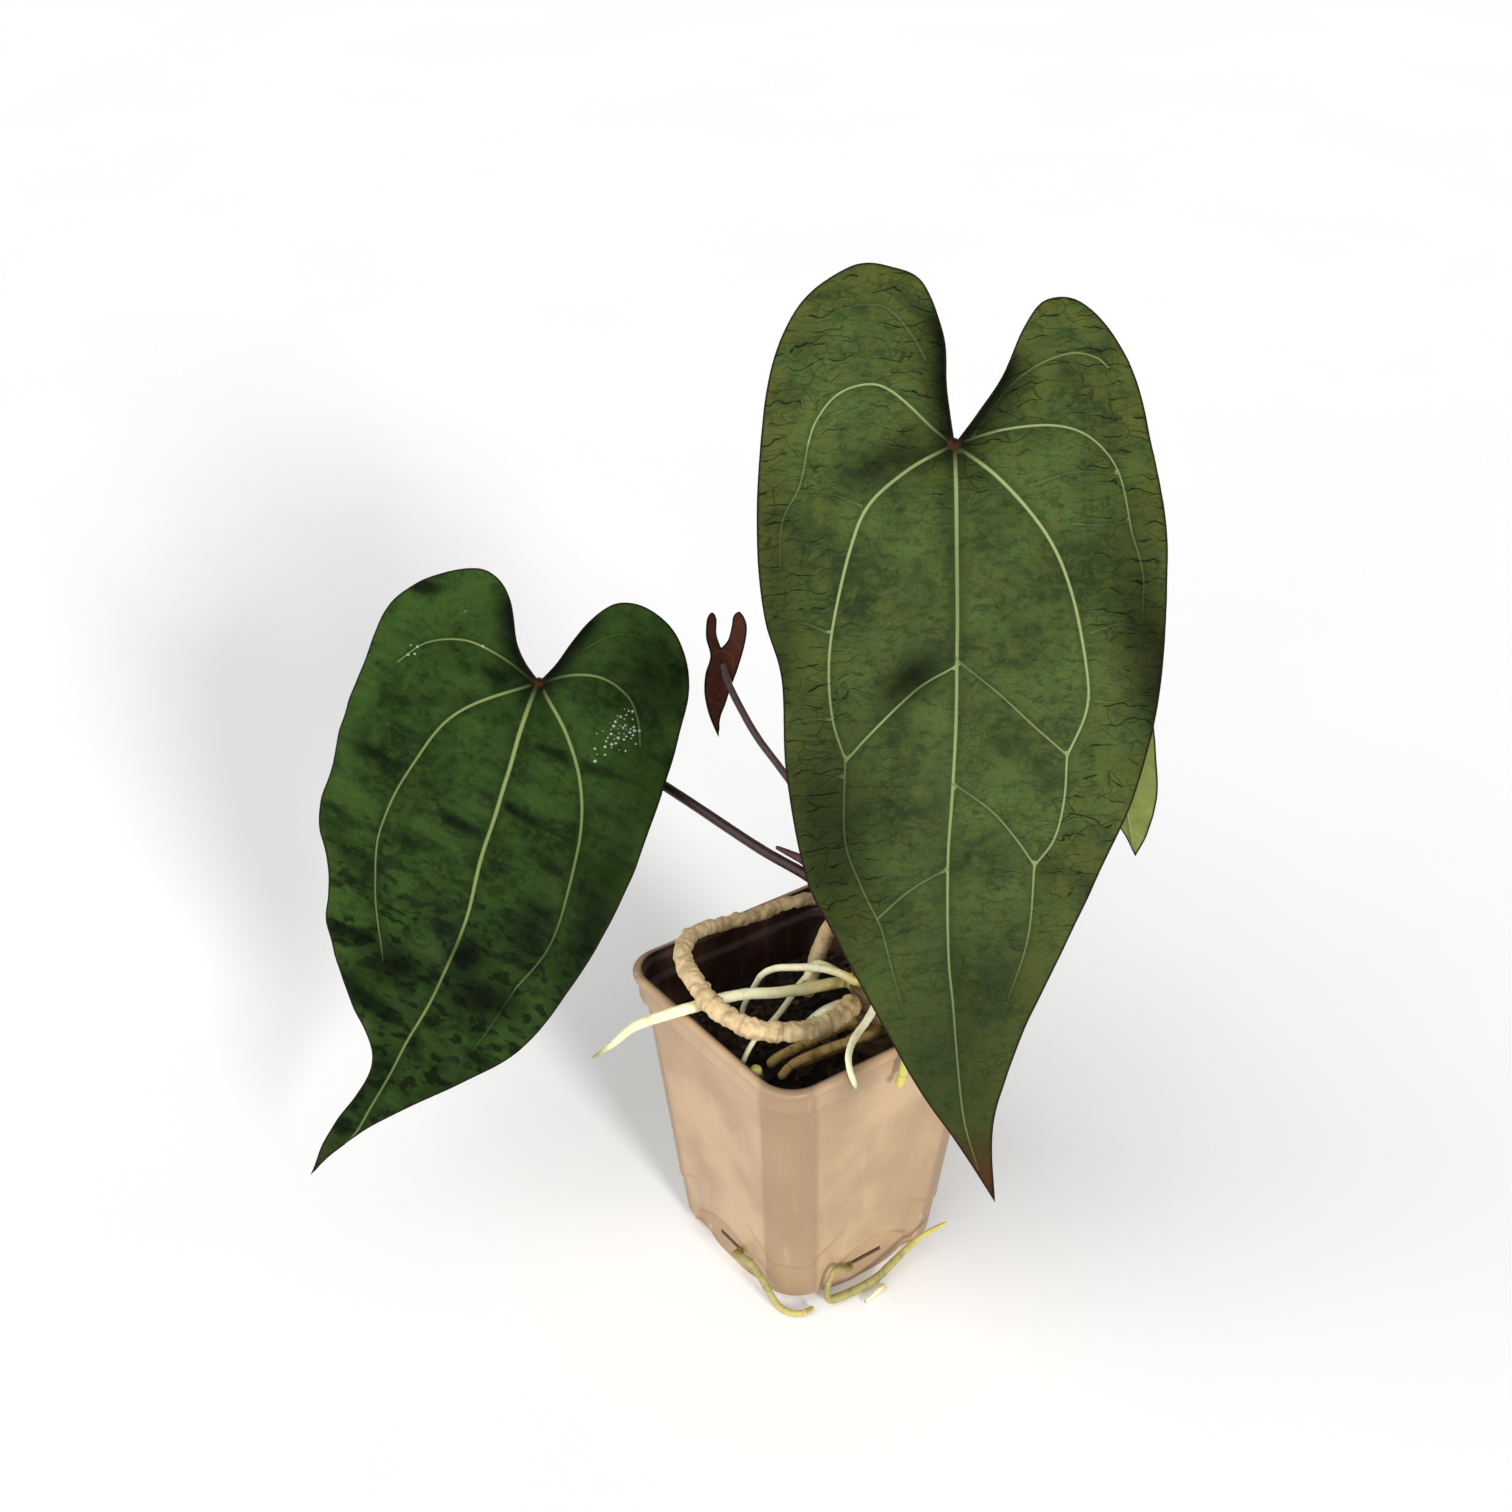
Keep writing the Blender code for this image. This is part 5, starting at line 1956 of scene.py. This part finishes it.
class Foliage:
    """The four leaves and the drops on the left one."""

    def large(self) -> Leaf:
        """The large leaf that hangs over the front of the pot.

        Returns:
            The leaf.
        """
        veins = [
            Vein([(0, 0), (2.5, 48), (4.8, 74), (6.7, 90), (7.6, 110), (7.1, 121), (6.6, 137),
                  (5.7, 147), (3.3, 157)], 0.66, 0.26, 1.0, 0.45),
            Vein([(1.4, 0.9), (11.1, 6.3), (19.4, 13.2), (23.8, 22.4), (28.2, 38),
                  (29.8, 48.7), (29.5, 59.4), (27.3, 67.8)], 0.56, 0.34, 1.0, 0.80),
            Vein([(27.3, 67.8), (28.2, 84.6), (25.5, 94.2), (22.3, 101.8)], 0.34, 0.26, 0.5,
                 0.32),
            Vein([(22.3, 101.8), (21.3, 104.6), (19.6, 113), (17.4, 122.5)], 0.28, 0.2, 0.3,
                 0.05),
            Vein([(3.5, 49.5), (9.6, 52.6), (15.1, 56.8), (21.8, 62.8), (27.3, 68.3)], 0.30,
                 0.34, 0.85, 0.9),
            Vein([(6.8, 91.7), (15, 96), (22.3, 101.8)], 0.24, 0.26, 0.22, 0.4),
            Vein([(-0.9, 1.3), (-9.4, 9.7), (-18, 21.9), (-22.4, 34.3), (-24.6, 51),
                  (-24, 60.1), (-19.4, 69.4)], 0.60, 0.34, 1.0, 0.85),
            Vein([(-19.4, 69.4), (-18.3, 78.4), (-15.8, 86.7), (-11.3, 92.2)], 0.34, 0.30,
                 0.8, 0.7),
            Vein([(-11.3, 92.2), (-9.3, 107.3), (-4.6, 119.9)], 0.34, 0.2, 0.65, 0.1),
            Vein([(2.5, 47.8), (-6.1, 55.8), (-13.1, 63.1), (-19.4, 69.2)], 0.24, 0.30, 0.22,
                 0.6),
            Vein([(4.8, 73.9), (-2.7, 79.9), (-7.6, 86.1), (-11.3, 92)], 0.24, 0.30, 0.22,
                 0.6),
            Vein([(0.8, -0.1), (4.3, -3), (13.1, -11.7), (18.7, -13.7), (25.3, -11.7), (30, -6.2),
                  (31.9, -1.3)], 0.44, 0.28, 0.95, 0.75),
            Vein([(31.9, -1.3), (34.1, 8.1), (38.2, 15.6), (39.3, 26.3)], 0.26, 0.2, 0.45,
                 0.1),
            Vein([(-2.1, -0.2), (-11.4, -2), (-21.6, -2.1), (-29.2, 1.1), (-34.5, 8.7),
                  (-36.3, 22.1)], 0.44, 0.26, 0.95, 0.6),
            Vein([(-36.3, 22.1), (-38.1, 31.5), (-37, 41.5)], 0.26, 0.2, 0.45, 0.15),
            Vein([(5.5, -18.7), (8.1, -24.1), (12.8, -30.3), (18.6, -31.6), (26, -29.9)], 0.28,
                 0.2, 0.24, 0.05),
            Vein([(-4.3, -1.8), (-12, -10.9), (-18.8, -15.7), (-26.1, -18), (-31.3, -16.9),
                  (-34, -14.4)], 0.26, 0.26, 0.25, 0.5),
        ]
        veins += [Vein(line, 0.22, 0.16, 0.20, 0.05) for line in (
            [(-15, 11.1), (-25, 8.5), (-34.5, 9.4)], [(-23.6, 19.9), (-30, 20.5), (-35, 19.8)],
            [(-26, 43.6), (-33, 42), (-40, 45)], [(-26, 58), (-31, 58.5), (-38, 56)],
            [(21, 13.2), (27, 10.5), (32.4, 9.2)], [(30, 40.3), (36, 38), (42, 40)],
            [(31.2, 59), (35, 59), (40, 60)], [(29, 71.2), (33, 74), (38, 78)])]
        finish = LeafFinish(
            deep=(0.018, 0.031, 0.010), middle=(0.062, 0.098, 0.025),
            olive=(0.066, 0.082, 0.020), edge=(0.076, 0.084, 0.016),
            vein=(0.21, 0.26, 0.105), under=(0.105, 0.145, 0.055),
            under_vein=(0.22, 0.24, 0.11), blister=0.10, length=164.4)
        return Leaf(
            "leaf_large", "blade_of_large_leaf", "blade_green", (17, 24, 224), (91, -20, 84),
            (0.66, -0.54, 0.52),
            [(1, -12), (1, -24), (5, -36), (12, -40), (20, -41), (29, -36), (35, -29),
             (40, -16), (43, 4), (44, 22), (43, 37), (40, 50), (40, 70), (37, 92), (32, 104),
             (23, 123), (15, 139), (7, 152)],
            [(-5, -6), (-11, -14), (-16, -24), (-21, -30), (-28, -30), (-35, -23),
             (-40, -11), (-43, 8), (-44, 24), (-42, 44), (-39, 61), (-33, 79), (-24, 96),
             (-16, 111), (-8, 126), (-3, 138), (0, 149)],
            [(0, 0), (3, 50), (7, 90), (8, 112), (6, 143), (0, 164)], (10.0, 4.0, 7.0, 44.0),
            veins, finish,
            hollows=[Hollow((12.5, 51.0), (9.0, 4.4), 0.62, 1.6, 0.85),
                     Hollow((14.5, 3.0), (12.0, 4.5), 0.50, 0.8, 0.60),
                     Hollow((32.0, 82.0), (12.0, 28.0), 0.0, 0.6, 0.74),
                     Hollow((40.0, 36.0), (7.0, 26.0), 0.0, 0.0, 0.52),
                     Hollow((-40.0, 56.0), (8.0, 36.0), 0.15, 0.0, 0.80),
                     Hollow((8.0, 132.0), (13.0, 22.0), 0.0, 0.0, 0.34),
                     Hollow((2.2, 28.0), (2.4, 26.0), 0.0, 0.0, 0.35),
                     Hollow((31.0, -23.0), (5.0, 5.0), 0.0, 0.3, 0.35)],
            quilt=0.9, waves=0.5, ripples=0.30, curl=2.6)

    def left(self) -> Leaf:
        """The darker, blistered leaf on the left.

        Returns:
            The leaf.
        """
        veins = [
            Vein([(0.1, 1.1), (-4.5, 24.9), (-7.9, 45.8), (-11, 62), (-11.9, 81.6), (-10, 102),
                  (-7.6, 124), (0, 142)], 0.86, 0.34, 1.0, 0.50),
            Vein([(1.6, 1.9), (14.6, 16), (18.5, 29.8), (19.6, 47), (15.6, 60.3),
                  (4.3, 81.3)], 0.58, 0.30, 0.9, 0.40),
            Vein([(-2.6, 1.6), (-13.3, 8.9), (-21.9, 17.8), (-27.4, 28.2), (-31.9, 43.7),
                  (-33.5, 59.4), (-30.3, 72.2)], 0.66, 0.34, 0.9, 0.45),
            Vein([(-30.3, 72.2), (-28.8, 84), (-25.7, 96.5)], 0.3, 0.2, 0.3, 0.05),
            Vein([(1.2, 0.5), (14.5, -1.9), (22.8, -1.2), (30.6, 3.3), (35.2, 10.9)], 0.5,
                 0.26, 0.95, 0.5),
            Vein([(-1.8, -0.9), (-8.3, -5.6), (-15.6, -7.9), (-23.6, -6.2), (-28.5, -2),
                  (-31.6, 3.7)], 0.55, 0.3, 0.85, 0.3),
            Vein([(-7.4, -12.1), (-12.5, -18.5), (-18.4, -21.8)], 0.26, 0.2, 0.25, 0.1),
        ]
        finish = LeafFinish(
            deep=(0.005, 0.014, 0.003), middle=(0.025, 0.053, 0.011),
            olive=(0.027, 0.050, 0.009), edge=(0.040, 0.080, 0.016),
            vein=(0.165, 0.205, 0.070), under=(0.070, 0.105, 0.040),
            under_vein=(0.15, 0.17, 0.07), tip=(0.024, 0.036, 0.010), roughness=0.46,
            specular=0.022, cracks=0.25, pit_shade=0.75, fade=0.55, blister=0.10,
            length=142.0)
        return Leaf(
            "leaf_left", "blade_of_left_leaf", "blade_deep_green", (-82, -27, 138),
            (-69, -111, 24), (0.61, -0.60, 0.51),
            [(8, -5), (15, -15), (22, -20), (29, -19), (38, -12), (44, -3), (44, 8), (42, 26),
             (39, 43), (36, 54), (28, 65), (20, 80), (11, 90), (0, 99), (-4, 106),
             (-4, 115), (-1, 127)],
            [(-3, -9), (-5, -19), (-10, -27), (-19, -29), (-29, -25), (-37, -14), (-40, 0),
             (-43, 18), (-45, 36), (-45, 52), (-43, 68), (-38, 86), (-28, 100), (-18, 112),
             (-9, 124), (-3, 135)],
            [(0, 0), (-4, 25), (-9, 52), (-12, 75), (-10, 102), (-6, 126), (0, 142)],
            (9.0, 5.0, 8.0, 46.0), veins, finish,
            hollows=[Hollow((0, 80.5), (10, 5), 0.3, 1.2, 0.95),
                     Hollow((-16, 70), (7, 5), 0.2, 1.0, 0.92),
                     Hollow((-28, 58), (8, 11), 0.2, 0.8, 0.85),
                     Hollow((-24, 78), (12, 6), 0.2, 1.0, 0.94),
                     Hollow((-42, 52), (8, 36), 0.15, 0.0, 0.80),
                     Hollow((12, 93), (10, 4), 0.9, 0.8, 0.80),
                     Hollow((-30, -14), (12, 12), 0.0, 0.0, 0.55),
                     Hollow((25, 60), (10, 3), -0.5, 0.8, 0.66),
                     Hollow((-5, 108), (5, 12), 0.0, 0.0, 0.50),
                     Hollow((-30, 102), (12, 5), 0.6, 0.0, 0.75),
                     Hollow((30, 34), (9, 3), -0.4, 0.6, 0.50)],
            quilt=1.5, waves=1.2, ripples=0.0, curl=2.2, folds=1.0,
            wet=[((-25.3, 2.9), (4.4, 5.6), 1.0), ((-23.0, 10.0), (2.4, 3.0), 0.4),
                 ((32.4, 6.5), (2.2, 1.2), 0.8), ((18.8, -2.2), (2.4, 1.2), 0.7),
                 ((26.0, -9.0), (2.2, 1.4), 0.5)])

    def new(self) -> Leaf:
        """The small folded russet leaf.

        Returns:
            The leaf.
        """
        veins = [Vein([(0, 0), (0, 12), (0, 22)], 0.4, 0.2, 0.8, 0.3),
                 Vein([(0.6, 0.5), (3.2, 2.0), (3.4, 6.0)], 0.2, 0.15, 0.5, 0.2),
                 Vein([(-0.6, 0.5), (-2.6, 2.0), (-2.8, 6.0)], 0.2, 0.15, 0.5, 0.2)]
        finish = LeafFinish(
            deep=(0.050, 0.014, 0.010), middle=(0.080, 0.024, 0.014),
            olive=(0.095, 0.034, 0.018), edge=(0.060, 0.018, 0.012),
            vein=(0.16, 0.06, 0.035), under=(0.088, 0.030, 0.020),
            under_vein=(0.16, 0.065, 0.045), tip=(0.045, 0.013, 0.010), roughness=0.42,
            cracks=0.2, blister=0.05, length=24.0)
        return Leaf(
            "leaf_new", "blade_of_new_leaf", "blade_russet", (-72, 24, 136), (-65, 18, 114),
            (-0.75, 0.50, -0.20),
            [(-1.4, -4), (-1.5, -8), (-2.7, -9.8), (-4, -8), (-4.1, -3), (-2.8, 2), (-4, 7),
             (-4.1, 12), (-3, 17), (-1.4, 21)],
            [(1.8, -2.5), (2.6, -6), (3, -9), (4.6, -10.2), (6.4, -7), (6.2, -2), (4.6, 5),
             (3, 10), (1.6, 15), (0.3, 19)],
            [(0, 0), (0, 12), (0, 23)], (1.5, -3.5, 0.0, 6.0), veins, finish, spacing=0.4,
            quilt=0.0, waves=0.12, ripples=0.06, curl=0.0, sinus_shade=0.0, thickness=0.5)

    def back(self) -> Leaf:
        """The narrow olive leaf behind the large one.

        Returns:
            The leaf.
        """
        veins = [Vein([(0, 0), (0, 30), (0, 62)], 0.7, 0.3, 0.9, 0.4),
                 Vein([(0.6, 0.8), (6.5, 8), (8, 24), (5.5, 42)], 0.35, 0.2, 0.7, 0.2),
                 Vein([(-0.6, 0.8), (-6.5, 8), (-8, 24), (-6, 42)], 0.35, 0.2, 0.7, 0.2)]
        finish = LeafFinish(
            deep=(0.050, 0.085, 0.020), middle=(0.090, 0.130, 0.032),
            olive=(0.11, 0.14, 0.035), edge=(0.13, 0.16, 0.04),
            vein=(0.34, 0.40, 0.16), under=(0.215, 0.255, 0.070),
            under_vein=(0.33, 0.36, 0.14), tip=(0.10, 0.13, 0.03), roughness=0.46,
            cracks=0.2, blister=0.06, length=66.0)
        return Leaf(
            "leaf_back", "blade_of_back_leaf", "blade_olive", (15, 66, 170), (38, 72, 109),
            (-0.35, 0.90, 0.10),
            [(-3, -6), (-6, -11), (-9.5, -12.5), (-13, -7), (-14, 2), (-14, 14), (-13, 28),
             (-10, 42), (-6.5, 52), (-2.4, 60)],
            [(3, -6), (6, -11), (9.5, -12), (12.5, -7), (13.5, 2), (13.5, 14), (12.5, 26),
             (10.5, 38), (8.6, 50), (4, 60)],
            [(0, 0), (0, 30), (0, 65)], (5.0, 1.5, 3.0, 16.0), veins, finish, spacing=0.7,
            quilt=0.4, waves=0.3, ripples=0.15, curl=0.4, sinus_shade=0.2)

    def build(self) -> None:
        """Make the leaves and the drops."""
        self.large().build()
        blade = self.left().build()
        self.new().build()
        self.back().build()
        Dew(blade).build()


# ---------------------------------------------------------------- floor, light and camera


@dataclass
class Studio:
    """Pale floor, soft light and the camera."""

    aim: Point3 = (-152.3, 94.4, 40.0)
    azimuth: float = 53.79
    elevation: float = 30.49
    distance: float = 702.0
    lens: float = 50.0
    sensor: float = 36.0
    floor_half: float = 4.0
    sky: float = 0.33
    key: tuple[float, Point3, float] = (2.35, (0.60, 1.2, 0.54), 12.0)
    fill: tuple[float, Point3, float] = (2.7, (-0.70, 0.60, 0.48), 90.0)

    def axes(self) -> tuple[Vector, Vector, Vector]:
        """Find how the camera is turned.

        Returns:
            Its right, up and back.
        """
        azimuth, elevation = math.radians(self.azimuth), math.radians(self.elevation)
        back = Vector((math.sin(azimuth) * math.cos(elevation),
                       -math.cos(azimuth) * math.cos(elevation), math.sin(elevation)))
        right = Vector((math.cos(azimuth), math.sin(azimuth), 0.0))
        return right, back.cross(right), back

    def camera(self) -> None:
        """Place the camera."""
        right, up, back = self.axes()
        data = bpy.data.cameras.new("camera")
        data.lens = self.lens
        data.sensor_width = self.sensor
        data.clip_start = 0.02
        data.clip_end = 20.0
        obj = link_object("camera", data)
        turn = Matrix((right, up, back)).transposed()
        place = (Vector(self.aim) + back * self.distance) * MM
        obj.matrix_world = Matrix.Translation(place) @ turn.to_4x4()
        bpy.context.scene.camera = obj

    def floor(self) -> None:
        """Lay the floor."""
        bm = bmesh.new()
        bmesh.ops.create_grid(bm, x_segments=8, y_segments=8, size=self.floor_half)
        mesh = bpy.data.meshes.new("floor")
        bm.to_mesh(mesh)
        bm.free()
        mesh.materials.append(FloorFinish().dress("pale_floor"))
        link_object("floor", mesh)

    def lights(self) -> None:
        """Hang a key light, a very soft fill and an even sky."""
        world = bpy.data.worlds.new("studio")
        world.use_nodes = True
        world.node_tree.nodes["Background"].inputs["Color"].default_value = (1.0, 1.0, 1.0, 1.0)
        world.node_tree.nodes["Background"].inputs["Strength"].default_value = self.sky
        bpy.context.scene.world = world
        right, _, back = self.axes()
        forward = Vector((back.x, back.y, 0.0)).normalized()
        for name, (power, way, spread) in (("key", self.key), ("fill", self.fill)):
            lamp = bpy.data.lights.new(name, "SUN")
            lamp.energy = power
            lamp.angle = math.radians(spread)
            aim = right * way[0] + forward * way[1] + Vector((0.0, 0.0, way[2]))
            turn = aim.to_track_quat("Z", "Y").to_matrix().to_4x4()
            link_object(name, lamp).matrix_world = turn

    def build(self) -> None:
        """Set the stage."""
        view = bpy.context.scene.view_settings
        view.view_transform = "Standard"
        self.camera()
        self.floor()
        self.lights()


def main() -> None:
    """Build the stage, the pot and the plant, and log how many faces each piece has."""
    logging.basicConfig(level=logging.INFO, format="%(name)s %(message)s")
    for part in (Studio(), Pot(), PottingBark(), Stalks(), Roots(), Foliage()):
        part.build()
        LOG.info("%s is ready", type(part).__name__)


if __name__ == "__main__":
    main()
